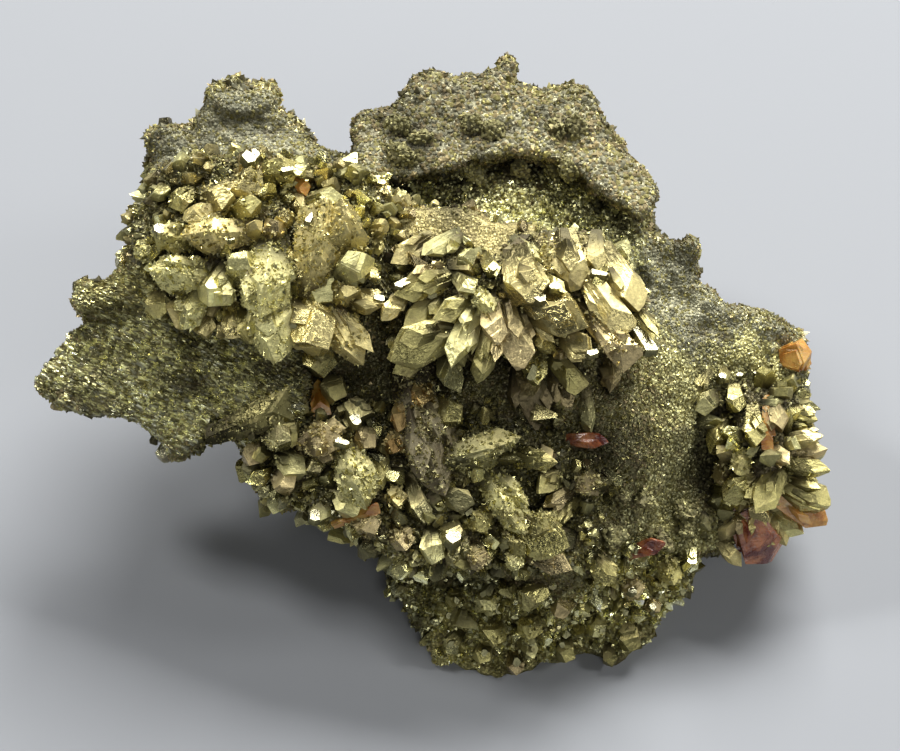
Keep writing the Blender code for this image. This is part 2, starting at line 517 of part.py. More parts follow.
def surface_point(tree, u, v):
    """Where the line into the face at (u, v) meets the body, or the nearest place to it."""
    start, direction = line_into(u, v)
    hit, normal, _, _ = tree.ray_cast(start, direction)
    if hit is None:
        hit, normal, _, _ = tree.find_nearest(place(u, v, USUAL_DEPTH))
    return hit, normal


def face_depth(point):
    """Depth w of a world point."""
    return (point - FACE_ORIGIN).dot(OUT_OF_FACE)


def standing(root, axis, facing):
    """Matrix with +Z along the axis and +Y turned toward the facing direction."""
    across = facing.cross(axis)
    if across.length < NEARLY_PARALLEL:
        across = RIGHT - axis * axis.dot(RIGHT)
    across.normalize()
    toward = axis.cross(across)
    return Matrix.Translation(root) @ Matrix((across, toward, axis)).transposed().to_4x4()


def seat(tree, row):
    """Root, axis and length of a crystal given by its root and tip on the face."""
    u0, v0, u1, v1, rise = row[:5]
    root, _ = surface_point(tree, u0, v0)
    tip = place(u1, v1, face_depth(root) + rise)
    axis = tip - root
    return root, axis.normalized(), axis.length


def add_listed(bm, tree, row, seed, grow=0.0):
    """One crystal of the lists above."""
    width, habit = row[5:]
    root, axis, length = seat(tree, row)
    planes = habit_planes(habit, width, length, random.Random(seed), grow)
    add_crystal(bm, planes, standing(root, axis, OUT_OF_FACE))


def seeded_lean(rng):
    return Vector([rng.uniform(-most, most) for most in LEAN])


def add_field(bm, tree, field, taken):
    """Smaller crystals on a jittered grid, away from what is taken."""
    seed, box, spacing, widths, stretch, heading = field
    rng = random.Random(seed)
    columns = int((box[2] - box[0]) / spacing)
    rows = int((box[3] - box[1]) / spacing)
    for index in range(columns * rows):
        u = box[0] + spacing * (index % columns + rng.uniform(*CELL))
        v = box[1] + spacing * (index // columns + rng.uniform(*CELL))
        width = rng.uniform(*widths)
        lean = seeded_lean(rng)
        habit = rng.choice(SMALL_HABITS)
        start, direction = line_into(u, v)
        hit, normal, _, _ = tree.ray_cast(start, direction)
        if hit is None or face_depth(hit) < FIELD_DEEPEST:
            continue
        if min((hit - other).length for other in taken) < spacing * FIELD_CLEAR:
            continue
        taken.append(hit)
        axis = normal + RIGHT * heading[0] + UP_FACE * heading[1] + lean
        axis.normalize()
        length = width * stretch
        planes = habit_planes(habit, width, length, rng)
        add_crystal(bm, planes, standing(hit, axis, OUT_OF_FACE))


def add_back(bm, tree, taken):
    """Crystals spread over the back and the sides."""
    rng = random.Random("back")
    middle = Vector(BACK_MIDDLE)
    lowest, highest = BACK_HEIGHTS
    for index in range(BACK_CRYSTALS):
        turn = math.pi * (3 - math.sqrt(5)) * index
        height = lowest + (highest - lowest) * (index + 0.5) / BACK_CRYSTALS
        flat = math.sqrt(max(0.0, 1 - height * height))
        outward = Vector((flat * math.cos(turn), flat * math.sin(turn), height))
        width = rng.uniform(*BACK_WIDTHS)
        lean = seeded_lean(rng)
        habit = rng.choice(("chip", "octa"))
        if outward.dot(OUT_OF_FACE) > FACE_SIDE:
            continue
        hit, normal, _, _ = tree.ray_cast(middle + outward * FAR, -outward)
        if hit is None or hit.z < LOWEST:
            continue
        if min((hit - other).length for other in taken) < BACK_CLEAR:
            continue
        taken.append(hit)
        axis = (normal + lean).normalized()
        planes = habit_planes(habit, width, width * BACK_STRETCH, rng)
        add_crystal(bm, planes, standing(hit, axis, Vector((0, 0, 1))))


def all_crystals(tree):
    """Every chalcopyrite crystal in one mesh."""
    bm = bmesh.new()
    taken = []
    groups = (RIDGE_LEFT_CRYSTALS, RIDGE_RIGHT_CRYSTALS, TERRACE_CRYSTALS, BOTTOM_CRYSTALS,
              CLUSTER_CRYSTALS)
    for group_number, group in enumerate(groups):
        for row_number, row in enumerate(group):
            add_listed(bm, tree, row, 1000 * group_number + row_number)
            root, axis, length = seat(tree, row)
            taken.extend((root, root + axis * length))
    for field in FIELDS:
        add_field(bm, tree, field, taken)
    add_back(bm, tree, taken)
    return mesh_from(bm, "crystals")


# ---------------------------------------------------------------- fusing and cutting

def guide(name, mesh):
    """Object that only shapes another."""
    obj = add_object(name, mesh)
    obj.hide_render = True
    obj.display_type = "WIRE"
    return obj


def combined(mesh, other, operation, name):
    """Exact Boolean of two meshes."""
    base = add_object("base_guide", mesh)
    tool = guide("tool_guide", other)
    boolean = base.modifiers.new("boolean", "BOOLEAN")
    boolean.operation = operation
    boolean.solver = "EXACT"
    boolean.use_self = True
    boolean.object = tool
    result = settle(base, name)
    bpy.data.objects.remove(tool)
    return result


def under_floor():
    """Box that takes away everything below the base."""
    bm = bmesh.new()
    size = 400
    bmesh.ops.create_cube(bm, size=size, matrix=Matrix.Translation((0, 0, -size / 2)))
    return mesh_from(bm, "under_floor")


def cleaned(mesh):
    """Largest connected body of a mesh, in triangles."""
    bm = bmesh.new()
    bm.from_mesh(mesh)
    bmesh.ops.triangulate(bm, faces=bm.faces)
    islands = []
    left = set(bm.verts)
    while left:
        stack = [left.pop()]
        island = set(stack)
        while stack:
            for edge in stack.pop().link_edges:
                for vertex in edge.verts:
                    if vertex in left:
                        left.remove(vertex)
                        island.add(vertex)
                        stack.append(vertex)
        islands.append(island)
    largest = max(islands, key=len)
    bmesh.ops.delete(bm, geom=[v for v in bm.verts if v not in largest], context="VERTS")
    return mesh_from(bm, mesh.name)


def material(name, colour, metallic, roughness):
    mat = bpy.data.materials.new(name)
    mat.use_nodes = True
    shader = mat.node_tree.nodes["Principled BSDF"]
    shader.inputs["Base Color"].default_value = (*colour, 1)
    shader.inputs["Metallic"].default_value = metallic
    shader.inputs["Roughness"].default_value = roughness
    return mat


def finish(name, mesh, mat):
    """Named object in metres with its material."""
    mesh.transform(Matrix.Scale(MM, 4))
    mesh.materials.clear()
    mesh.materials.append(mat)
    return add_object(name, mesh)


def build():
    for obj in list(bpy.data.objects):
        bpy.data.objects.remove(obj)
    rough = fused_body()
    add_relief(rough)
    body = simplified(fused(rough), BODY_FACES)
    bm = bmesh.new()
    bm.from_mesh(body)
    tree = BVHTree.FromBMesh(bm)
    bm.free()

    pockets = bmesh.new()
    for number, (name, row) in enumerate(SPHALERITES.items()):
        add_listed(pockets, tree, row, 9000 + number, SEAT_GAP)
        crystal = bmesh.new()
        add_listed(crystal, tree, row, 9000 + number)
        orange = material(name, (0.42, 0.11, 0.03), 0.0, 0.18)
        finish(name, mesh_from(crystal, name), orange)

    mass = combined(body, all_crystals(tree), "UNION", "mass")
    mass = combined(mass, mesh_from(pockets, "pockets"), "DIFFERENCE", "mass")
    mass = combined(mass, under_floor(), "DIFFERENCE", "mass")
    gold = material("chalcopyrite", (0.36, 0.31, 0.13), 0.9, 0.35)
    finish("chalcopyrite_mass", cleaned(mass), gold)


build()
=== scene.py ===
"""Looks of the chalcopyrite specimen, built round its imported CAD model.

The same frames, ledges and crystals as the CAD source, in millimetres: u to the right, v up the
sloping face, w out of the face. Meshes are turned into metres when their pieces are made.
"""
import itertools
import math
import random

import bmesh
import bpy
import numpy as np
from mathutils import Matrix, Vector, noise
from mathutils.bvhtree import BVHTree


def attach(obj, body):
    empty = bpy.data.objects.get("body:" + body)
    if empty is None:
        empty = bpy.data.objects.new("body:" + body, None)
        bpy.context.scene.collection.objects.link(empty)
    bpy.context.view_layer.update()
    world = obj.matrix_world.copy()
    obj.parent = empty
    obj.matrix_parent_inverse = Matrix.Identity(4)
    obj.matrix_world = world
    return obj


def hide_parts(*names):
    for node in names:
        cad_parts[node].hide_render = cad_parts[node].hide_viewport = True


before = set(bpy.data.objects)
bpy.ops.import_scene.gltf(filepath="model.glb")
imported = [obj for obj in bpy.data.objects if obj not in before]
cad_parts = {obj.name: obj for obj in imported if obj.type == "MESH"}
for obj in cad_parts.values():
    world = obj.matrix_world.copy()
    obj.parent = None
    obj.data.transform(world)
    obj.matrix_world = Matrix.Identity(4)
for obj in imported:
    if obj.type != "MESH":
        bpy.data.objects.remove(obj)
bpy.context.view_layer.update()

MM = 0.001

# Driving dimensions, in millimetres and degrees.
FACE_LEAN = 40.0          # the face leans back from the vertical
SPREAD = 1.0 / 300.0      # widening for each millimetre of depth
FLOOR_DROP = 38.5         # from the face frame's origin down to the base
CENTRE_X = -2.05          # middle of the plan, seen from the face frame's origin
CENTRE_Y = 17.7
BACK_CHANGE = (0.75, 1.25)    # by how much a ledge's thickness changes round its outline
VOXEL = 0.9               # fusing resolution of the body
BODY_FACES = 2650         # triangles kept in the body before the crystals
RELIEF = ((9.0, 1.0), (3.6, 0.6))    # wavelength and height of the body's lumps
BACK_RELIEF = ((15.0, 3.4), (6.0, 1.5))   # the same for its broken back
BACK_FROM = -20.0         # depth w where the broken back begins
BACK_FULL = -36.0         # depth w from which its relief is whole
ABOVE_FACE = 40.0         # a depth w in front of everything
USUAL_DEPTH = -14.0       # depth w where a ledge's edge is looked for
ROOT_DEPTH = 0.35         # share of a crystal's length below its root
ROOT_EXTRA = 0.8          # extra root length
NEARLY_PARALLEL = 0.15    # sine under which a crystal counts as facing straight out
REACH_CHANGE = (0.93, 1.04)   # by how much a side face moves in or out
SHOULDER_CHANGE = 0.06    # by how much a tip face's shoulder moves
GIRDLE = 0.4              # height, over the length, where the side faces reach full width

# Outlines of the ledges, in (u, v). Each has its front depth w at (u0, v0), the change of w
# along u and v, and its thickness.
LEDGES = {
    "wing": (
        ((-51.4, -1.2), (-50, 0.8), (-47.6, 4.6), (-45.5, 6), (-40, 7.5), (-30, 8), (-18, 4),
         (-18, -5), (-26, -8.5), (-29, -7.4), (-32, -8.7), (-34.8, -10.2), (-36.6, -7.6),
         (-40.3, -5.4), (-44, -5.8), (-47.7, -4), (-49.6, -1.9)),
        (-25, 0, -5.5), (0.30, -0.02), 5.0),
    "left_lobe": (
        ((-47.2, 9.4), (-46.3, 12), (-43.8, 11), (-41.2, 13), (-37, 13.4), (-35, 7),
         (-41, 7.2), (-45.8, 7.6)),
        (-42, 10, -9), (0.15, 0.0), 7.0),
    "ridge_left": (
        ((-40, 13.8), (-40, 20.4), (-38, 23.2), (-36.6, 26), (-30, 26.8), (-25, 27.2),
         (-15, 26), (-10, 24.4), (-7, 21), (-7, 9), (-12, 5), (-22, 4.5), (-32, 7), (-37, 9)),
        (-25, 15, -6), (0.0, -0.12), 13.0),
    "ridge_right": (
        ((-9, 12), (-8, 21), (-3, 20.5), (3, 20.2), (8, 18.5), (14, 17.7), (18.7, 17.2),
         (21.6, 14.2), (23.6, 10.5), (24, 6), (21, 4), (12, 3), (5, 3), (-3, 3), (-8, 5)),
        (8, 10, -4), (0.0, -0.2), 14.0),
    "fin": (
        ((-37.3, 31), (-34.4, 30.7), (-31.6, 29.6), (-30.8, 33), (-30, 34.9), (-27, 37.3),
         (-24.6, 34.9), (-22.6, 36), (-21.3, 32.4), (-20, 30), (-18.6, 29.8),
         (-16, 27.3), (-13, 27.6), (-11, 25), (-12, 18), (-34, 18), (-36.8, 25.4)),
        (-26, 30, -21), (0.05, -0.25), 9.0),
    "terrace": (
        ((-27.5, -6.2), (-24.8, -10.4), (-23.2, -14.2), (-21.4, -16), (-18.2, -16),
         (-14.4, -18), (-12, -19.7), (-8.6, -21.8), (-5.5, -23.4), (1, -23.6), (8, -23.4),
         (14, -24.4), (18, -21), (19.5, -13), (15, -4.5), (0, -2.5), (-10, -2.5),
         (-20, -1.5), (-26, -1.5)),
        (-8, -12, -6.5), (-0.06, -0.22), 20.0),
    "bottom_lobe": (
        ((-7.2, -26), (-5, -28), (-4.4, -30), (-2.6, -34), (-1, -36.4), (3, -37),
         (6, -38.8), (9.5, -37), (13, -35.8), (17.5, -35), (20, -36.6), (23.8, -34.6),
         (25, -32), (26.4, -28), (30, -27.4), (29.4, -22), (18, -18), (0, -20),
         (-5, -23)),
        (9, -30, -16.5), (-0.05, 0.12), 16.0),
    "slope": (
        ((21, 18), (24.4, 18.4), (24.2, 16.3), (28, 15.8), (30.4, 16.8), (31, 12.8),
         (31.8, 11.1), (35.4, 8.7), (39, 7.3), (42, 5.6), (43.9, 4.2), (44.6, 0.5),
         (43.6, -4), (43, -12), (38, -18), (33.6, -21.6), (29.3, -22), (22, -22), (16, -16),
         (14, 0), (16, 10)),
        (28, 0, -18), (-0.08, -0.12), 12.0),
    "dome": (
        ((-12.4, 29.8), (-11.3, 33.2), (-7, 33.2), (-5.2, 34.6), (-4.9, 36.6), (-2.7, 37.6),
         (1, 37.2), (5, 38.8), (7.4, 39.4), (7.4, 36.2), (8.6, 35.1), (12.5, 34.3),
         (14.5, 36), (17.4, 34.2), (18.4, 31), (22, 27.4), (24.8, 24.5), (25.8, 22.2),
         (24, 19), (22, 20.4), (19, 23), (15, 25.9), (11, 27.8), (5, 27.2), (0, 25.4),
         (-5, 24.5), (-11, 25.5)),
        (8, 29, -18), (-0.05, -0.85), 6.5),
    "hollow_floor": (
        ((-11, 20), (-11, 27), (-4, 30), (6, 31), (15, 30), (21, 26), (23.6, 19), (23.6, 14),
         (10, 12), (0, 14)),
        (12, 20, -22), (0.0, -1.0), 7.0),
}

# Rounded lumps in the face frame: centre (u, v, w) and radii along u, v and w.
FACE_LUMPS = (
    ((-27, 16, -11), (12, 10, 8.5)),
    ((-14, 14, -10), (8, 10, 7.5)),
    ((-22, 7, -9), (9, 4.5, 5.5)),
    ((8, 10, -10), (15, 7.5, 7.5)),
    ((-2, 7, -9), (7, 6, 5.5)),
    ((18, 9, -9), (6.5, 6.5, 5.5)),
    ((8, -11, -14), (14, 10, 7)),
    ((-14, -9, -12), (12, 8, 7)),
    ((10, -28, -24), (14, 8, 9)),
    ((38.5, -9, -22), (7.5, 10.5, 8.5)),
    ((34, 2, -26), (9, 8, 8)),
    ((2, 31, -31), (12, 6.5, 9)),
    ((16, 28, -27), (7, 5, 7)),
    ((-26, 27, -28), (9, 8, 8)),
)

# Rounded lumps of the core and the back, from a point of the base below the face frame's
# origin: centre and radii along x, y and z.
CORE_LUMPS = (
    ((8, 14, 16), (29, 24, 20)),
    ((-13, 19, 27), (19, 15, 18)),
    ((8, 33, 22), (21, 15, 18)),
    ((12, -3, 11), (15, 12, 13)),
    ((29, 15, 14), (14, 13, 13)),
    ((-3, 25, 11), (20, 16, 14)),
    ((-24, 31, 36), (11, 9, 11)),
    ((-2, 43, 27), (12, 9, 14)),
    ((13, 43, 27), (13, 10, 14)),
    ((19, 31, 17), (14, 11, 13)),
    ((37, 16, 19), (9, 8, 8)),
    ((-17, 36, 27), (12, 8, 12)),
    ((4, 38, 13), (17, 9, 13)),
    ((-30, 25, 37), (9, 9, 9)),
)

# Large crystals: root (u, v), tip (u, v), rise of the tip out of the face, width and habit.
RIDGE_LEFT_CRYSTALS = (
    (-25.6, 25.0, -24.8, 28.0, 2.0, 2.4, "block"),
    (-21.5, 24.5, -20.8, 26.9, 2.4, 3.8, "block"),
    (-28.5, 23.2, -23.6, 24.2, 1.6, 2.5, "prism"),
    (-29.6, 21.8, -27.4, 22.4, 2.2, 2.8, "block"),
    (-26.6, 20.4, -24.0, 21.6, 2.2, 2.5, "block"),
    (-19.8, 23.0, -17.8, 20.3, 2.4, 2.1, "blade"),
    (-17.2, 21.5, -13.8, 22.3, 2.4, 2.7, "block"),
    (-13.0, 15.8, -13.6, 21.4, 3.4, 3.9, "block"),
    (-17.0, 12.8, -15.9, 20.6, 3.8, 5.4, "round"),
    (-21.4, 19.0, -20.0, 20.3, 2.0, 1.9, "block"),
    (-29.5, 20.0, -33.0, 19.4, 2.4, 2.8, "block"),
    (-27.0, 17.8, -32.5, 17.4, 2.2, 4.0, "round"),
    (-32.8, 16.8, -36.3, 17.6, 2.0, 3.0, "round"),
    (-31.0, 12.5, -36.4, 13.0, 2.4, 4.0, "round"),
    (-26.6, 12.0, -25.6, 15.2, 2.8, 3.3, "block"),
    (-28.5, 12.2, -30.2, 8.4, 2.8, 4.3, "spear"),
    (-22.4, 14.6, -23.4, 8.2, 3.6, 5.8, "round"),
    (-31.0, 10.3, -33.8, 5.6, 2.4, 3.2, "spear"),
    (-30.8, 7.4, -30.2, 4.9, 1.2, 2.6, "block"),
    (-27.3, 9.0, -27.0, 4.8, 2.2, 2.0, "prism"),
    (-25.6, 7.6, -25.0, 4.3, 2.0, 2.2, "block"),
    (-22.4, 8.6, -21.9, 1.0, 3.0, 5.2, "spear"),
    (-20.3, 11.0, -14.8, 10.8, 2.8, 3.3, "prism"),
    (-18.6, 8.0, -15.4, 3.6, 3.8, 5.2, "block"),
    (-15.0, 7.6, -10.4, 1.3, 3.0, 4.0, "spear"),
    (-16.6, 3.8, -15.9, 0.2, 1.6, 3.6, "block"),
    (-14.5, 10.1, -11.2, 10.7, 3.0, 2.9, "spear"),
    (-12.5, 9.6, -8.3, 9.1, 2.8, 2.8, "spear"),
    (-13.7, 7.8, -11.2, 5.8, 2.6, 2.2, "blade"),
    (-13.0, 13.0, -10.7, 14.8, 2.6, 3.6, "block"),
    (-9.6, 17.5, -8.0, 19.5, 1.8, 2.1, "blade"),
    (-38.2, 16.2, -38.4, 14.8, 1.8, 2.2, "block"),
    (-36.4, 9.4, -36.8, 7.4, 1.8, 2.6, "block"),
    (-24.7, 17.4, -24.4, 19.2, 1.8, 1.8, "block"),
    (-22.4, 17.6, -21.6, 19.4, 1.8, 2.6, "block"),
    (-32.6, 22.4, -34.6, 21.2, 1.6, 2.6, "block"),
)
RIDGE_RIGHT_CRYSTALS = (
    (-3.8, 16.5, -7.5, 14.0, 2.4, 2.6, "wedge"),
    (0.5, 17.2, -3.5, 14.8, 2.6, 2.6, "blade"),
    (-1.0, 12.2, -7.2, 10.2, 3.2, 3.5, "wedge"),
    (-1.0, 13.3, -4.8, 12.6, 2.8, 1.9, "blade"),
    (-6.0, 9.6, -8.3, 7.2, 2.0, 2.1, "block"),
    (-2.5, 9.0, -5.8, 5.3, 2.6, 2.8, "wedge"),
    (-0.4, 5.4, -8.0, 2.1, 3.2, 5.2, "wedge"),
    (2.5, 9.4, -2.3, 7.1, 3.0, 2.7, "wedge"),
    (3.0, 8.4, 0.2, 1.0, 3.4, 3.1, "blade"),
    (5.0, 5.2, 3.7, -1.3, 2.2, 2.7, "blade"),
    (7.4, 7.6, 8.7, 0.2, 3.4, 4.3, "wedge"),
    (5.3, 8.8, 5.8, 4.3, 3.2, 2.9, "block"),
    (3.6, 10.2, 5.0, 8.4, 2.6, 2.3, "round"),
    (9.0, 13.6, 9.9, 9.4, 3.8, 4.5, "block"),
    (10.4, 3.4, 10.7, -0.7, 3.0, 2.9, "block"),
    (10.2, 8.5, 17.5, 6.2, 3.8, 4.7, "wedge"),
    (14.8, 15.4, 15.6, 10.3, 3.2, 4.4, "spear"),
    (18.3, 16.3, 18.3, 13.4, 2.4, 2.3, "block"),
    (12.6, 16.0, 12.9, 13.2, 2.6, 2.5, "round"),
    (8.4, 16.6, 11.8, 14.1, 2.6, 1.9, "blade"),
    (8.8, 16.0, 6.3, 13.0, 2.2, 2.7, "wedge"),
    (17.3, 12.5, 22.0, 5.8, 3.0, 3.0, "prism"),
    (20.3, 13.4, 23.9, 7.7, 3.2, 3.9, "spear"),
    (23.2, 8.0, 25.6, 1.9, 2.6, 2.3, "blade"),
    (18.1, 6.9, 22.9, 1.8, 2.8, 3.2, "prism"),
    (20.9, 3.2, 18.9, -4.3, 2.4, 2.8, "blade"),
    (12.3, 2.9, 16.3, -1.7, 2.8, 2.3, "prism"),
    (14.4, 4.6, 17.9, 2.3, 2.8, 3.1, "wedge"),
    (11.0, 5.6, 12.3, 2.8, 2.6, 1.8, "block"),
    (9.0, 0.9, 10.8, -7.1, 2.0, 3.9, "spear"),
    (17.0, -2.4, 17.6, -7.7, 1.0, 1.9, "blade"),
    (13.0, -0.4, 15.2, -4.4, 1.0, 2.8, "wedge"),
    (12.0, 12.1, 14.1, 10.5, 3.0, 1.9, "block"),
    (1.2, 12.0, 2.8, 10.4, 2.4, 2.3, "block"),
    (4.6, 14.4, 5.6, 12.6, 2.4, 1.9, "block"),
)
TERRACE_CRYSTALS = (
    (-26.6, -6.1, -18.3, -2.8, 2.2, 3.4, "prism"),
    (-11.9, -4.6, -12.1, -5.4, 3.2, 4.0, "octa"),
    (-14.3, -1.0, -14.6, -3.0, 2.4, 3.0, "block"),
    (-16.8, -8.4, -13.2, -8.4, 3.0, 4.6, "octa"),
    (-22.2, -7.2, -20.2, -8.2, 2.2, 3.0, "block"),
    (-10.2, -7.2, -10.8, -8.8, 2.4, 2.7, "block"),
    (-6.6, -7.6, -7.0, -9.4, 2.6, 2.6, "block"),
    (-4.6, -2.4, -1.8, -12.9, 3.0, 5.5, "round"),
    (0.6, -10.1, 7.4, -8.2, 2.4, 3.5, "round"),
    (-1.0, -3.9, 1.3, -5.6, 1.8, 3.0, "block"),
    (-12.4, -11.0, -10.6, -15.6, 3.0, 4.7, "round"),
    (-13.6, -14.8, -12.0, -17.4, 1.8, 3.0, "block"),
    (-6.6, -15.0, -6.4, -16.2, 2.8, 2.6, "octa"),
    (-4.6, -14.6, -3.3, -18.6, 2.4, 2.9, "spear"),
    (-22.2, -14.6, -22.8, -15.8, 1.6, 2.4, "octa"),
    (-16.3, -16.8, -16.6, -18.2, 1.8, 2.6, "octa"),
    (-20.6, -10.4, -18.5, -12.1, 2.4, 3.0, "block"),
    (-21.0, -12.6, -19.8, -14.0, 2.0, 2.7, "block"),
    (-17.6, -10.6, -16.4, -12.0, 2.2, 2.3, "block"),
    (-8.7, -9.4, -8.5, -14.4, 1.8, 1.9, "blade"),
    (-0.6, -14.9, 3.1, -16.1, 2.6, 2.8, "wedge"),
    (0.3, -19.0, 0.5, -20.6, 3.2, 2.6, "block"),
    (-2.0, -20.2, -2.2, -23.2, 2.0, 2.8, "block"),
    (1.2, -20.8, 0.5, -24.2, 2.0, 2.7, "spear"),
    (3.4, -21.8, 3.8, -23.8, 2.0, 2.5, "block"),
    (8.0, -21.6, 8.2, -24.2, 1.8, 2.0, "block"),
    (12.6, -12.8, 11.1, -14.6, 2.8, 2.8, "octa"),
    (15.3, -14.2, 11.6, -16.6, 2.6, 1.9, "blade"),
    (5.4, -13.2, 8.6, -18.6, 2.4, 3.5, "round"),
    (8.4, -18.9, 15.1, -22.1, 3.2, 5.3, "wedge"),
    (10.8, -22.4, 15.3, -24.3, 1.8, 2.9, "wedge"),
    (17.2, -12.8, 17.0, -14.4, 2.0, 3.0, "round"),
    (8.4, -10.2, 13.6, -10.9, 2.0, 2.4, "blade"),
    (18.0, -23.0, 20.6, -26.0, 2.0, 3.0, "wedge"),
    (-24.4, -9.2, -25.0, -11.0, 1.6, 2.4, "block"),
    (-10.8, -17.6, -9.6, -19.6, 1.8, 2.8, "block"),
    (-6.4, -19.4, -5.4, -22.0, 2.0, 2.8, "spear"),
    (4.4, -17.4, 3.2, -19.2, 2.2, 2.6, "block"),
)
BOTTOM_CRYSTALS = (
    (10.6, -26.6, 10.8, -28.6, 2.4, 3.2, "block"),
    (4.8, -27.6, 4.4, -29.4, 2.0, 2.6, "block"),
    (5.6, -31.2, 5.4, -33.4, 2.4, 3.0, "block"),
    (10.4, -30.2, 9.6, -32.6, 2.0, 2.7, "block"),
    (0.8, -33.0, -0.4, -34.6, 1.4, 2.0, "block"),
    (4.4, -34.0, 3.8, -35.8, 1.6, 2.2, "block"),
    (8.0, -35.2, 8.2, -37.2, 1.4, 2.0, "block"),
    (14.6, -33.6, 14.4, -35.6, 1.6, 2.3, "block"),
    (14.8, -28.4, 13.2, -29.8, 2.0, 2.2, "block"),
    (18.6, -30.8, 18.0, -32.8, 2.0, 2.4, "spear"),
    (22.6, -32.0, 22.4, -34.2, 1.4, 2.7, "block"),
    (24.8, -28.2, 26.0, -29.4, 1.4, 1.8, "block"),
    (19.8, -34.2, 20.2, -36.2, 1.0, 1.8, "block"),
    (26.8, -23.4, 27.8, -25.6, 1.8, 2.8, "round"),
    (0.6, -27.4, 0.2, -28.8, 1.8, 1.9, "block"),
    (22.4, -25.6, 23.4, -27.6, 1.8, 2.5, "block"),
)
CLUSTER_CRYSTALS = (
    (31.8, -0.6, 30.6, -2.4, 1.6, 1.9, "block"),
    (33.0, -3.0, 30.9, -4.1, 2.0, 2.6, "block"),
    (34.6, -6.4, 32.5, -9.9, 2.6, 3.1, "spear"),
    (35.6, -1.8, 35.9, -4.3, 2.4, 2.3, "block"),
    (38.0, -5.6, 38.3, -8.6, 3.0, 2.6, "block"),
    (40.6, -4.2, 41.6, -6.6, 2.2, 2.3, "block"),
    (42.4, -8.0, 46.8, -7.5, 1.0, 2.2, "spear"),
    (43.2, -9.6, 47.4, -9.3, 0.8, 1.9, "spear"),
    (42.4, -11.0, 47.6, -12.0, 1.0, 2.2, "spear"),
    (42.2, -13.8, 47.8, -16.4, 1.6, 4.0, "spear"),
    (40.6, -12.8, 38.2, -17.2, 3.0, 3.5, "wedge"),
    (37.6, -13.4, 33.9, -15.4, 2.4, 3.3, "spear"),
    (40.4, -16.8, 44.4, -19.9, 1.6, 2.7, "blade"),
    (40.0, -17.0, 42.2, -21.3, 1.2, 2.3, "blade"),
    (39.2, -16.8, 37.1, -20.9, 1.6, 2.7, "spear"),
    (36.6, -17.2, 35.8, -19.6, 1.4, 2.3, "block"),
    (43.0, -4.9, 46.0, -5.6, 0.8, 1.9, "spear"),
    (36.6, -9.8, 36.2, -12.0, 2.4, 2.2, "round"),
    (40.6, -9.4, 42.4, -11.0, 2.4, 2.2, "spear"),
    (34.4, -11.2, 33.8, -13.4, 1.8, 2.2, "round"),
)

# Habits: thickness over width, side faces (direction in degrees, reach), tip faces (direction
# in degrees, height of the shoulder, reach at the tip). Direction 90 looks out of the face.
HABITS = {
    "spear": (0.80, ((10, 1.0), (80, 0.95), (150, 1.0), (225, 0.95), (300, 0.95)),
              ((50, 0.42, 0.02), (165, 0.55, 0.04), (285, 0.35, 0.06))),
    "wedge": (0.72, ((0, 1.0), (60, 0.95), (125, 0.95), (185, 1.0), (270, 0.9)),
              ((95, 0.15, 0.10), (200, 0.55, 0.05), (335, 0.62, 0.05))),
    "blade": (0.45, ((0, 1.0), (70, 0.9), (115, 0.9), (180, 1.0), (270, 0.9)),
              ((20, 0.55, 0.03), (150, 0.62, 0.08), (275, 0.4, 0.1))),
    "block": (0.88, ((15, 1.0), (95, 0.95), (185, 1.0), (280, 0.95)),
              ((70, 0.62, 0.36), (185, 0.72, 0.32), (310, 0.55, 0.30))),
    "prism": (0.85, ((0, 1.0), (60, 0.95), (120, 1.0), (195, 0.95), (270, 0.95)),
              ((95, 0.72, 0.15), (270, 0.80, 0.22))),
    "octa": (1.0, ((45, 1.0), (135, 1.0), (225, 1.0), (315, 1.0)),
             ((80, 0.20, 0.16), (195, 0.25, 0.12), (320, 0.22, 0.14))),
    "round": (0.9, ((0, 1.0), (60, 0.97), (120, 1.0), (190, 0.97), (270, 1.0)),
              ((40, 0.5, 0.35), (150, 0.55, 0.38), (270, 0.5, 0.36))),
    "chip": (0.9, ((20, 1.0), (110, 0.95), (195, 1.0), (290, 0.9)),
             ((60, 0.45, 0.25), (220, 0.5, 0.2))),
    "point": (0.8, ((0, 1.0), (120, 1.0), (240, 1.0)),
              ((60, 0.3, 0.1), (180, 0.4, 0.08), (300, 0.35, 0.1))),
}
SMALL_HABITS = ("chip", "chip", "octa", "point")
ROOT_TAPER = 0.37         # narrowing of a crystal toward its root
FACE_JITTER = 7.0         # degrees by which a crystal face turns from its habit

# Fields of smaller crystals: seed, corners of a (u, v) box, spacing, width range, length over
# width, and the heading that they lean to in (u, v).
FIELDS = (
    ("ridge left", (-39, 6, -9, 26), 5.0, (1.8, 2.8), 1.3, (-0.2, -0.5)),
    ("ridge right", (-8, -1, 24, 15), 5.2, (1.7, 2.6), 1.5, (0.1, -0.6)),
    ("terrace", (-26, -23, 18, -3), 5.0, (1.7, 2.8), 1.2, (-0.1, -0.5)),
    ("bottom", (-1, -36, 27, -23), 4.6, (1.6, 2.6), 1.2, (0.0, -0.6)),
    ("cluster", (32, -19, 46, 0), 4.2, (1.6, 2.4), 1.6, (0.2, -0.2)),
    ("valley", (19, -22, 31, -12), 4.0, (1.2, 2.0), 1.1, (0.0, -0.4)),
    ("dome", (-9, 24, 21, 35), 4.6, (2.0, 3.0), 0.7, (0.0, -0.2)),
)
FIELD_DEEPEST = -29.0     # deepest w of a crystal in these fields
CELL = (0.15, 0.85)       # part of a grid cell in which its crystal stands
FIELD_CLEAR = 0.55        # clear distance to other crystals over the spacing
BACK_CRYSTALS = 30        # crystals spread over the back and the sides
BACK_WIDTHS = (2.2, 4.4)
BACK_MIDDLE = (6, 2, 24)  # the directions of the back start from here
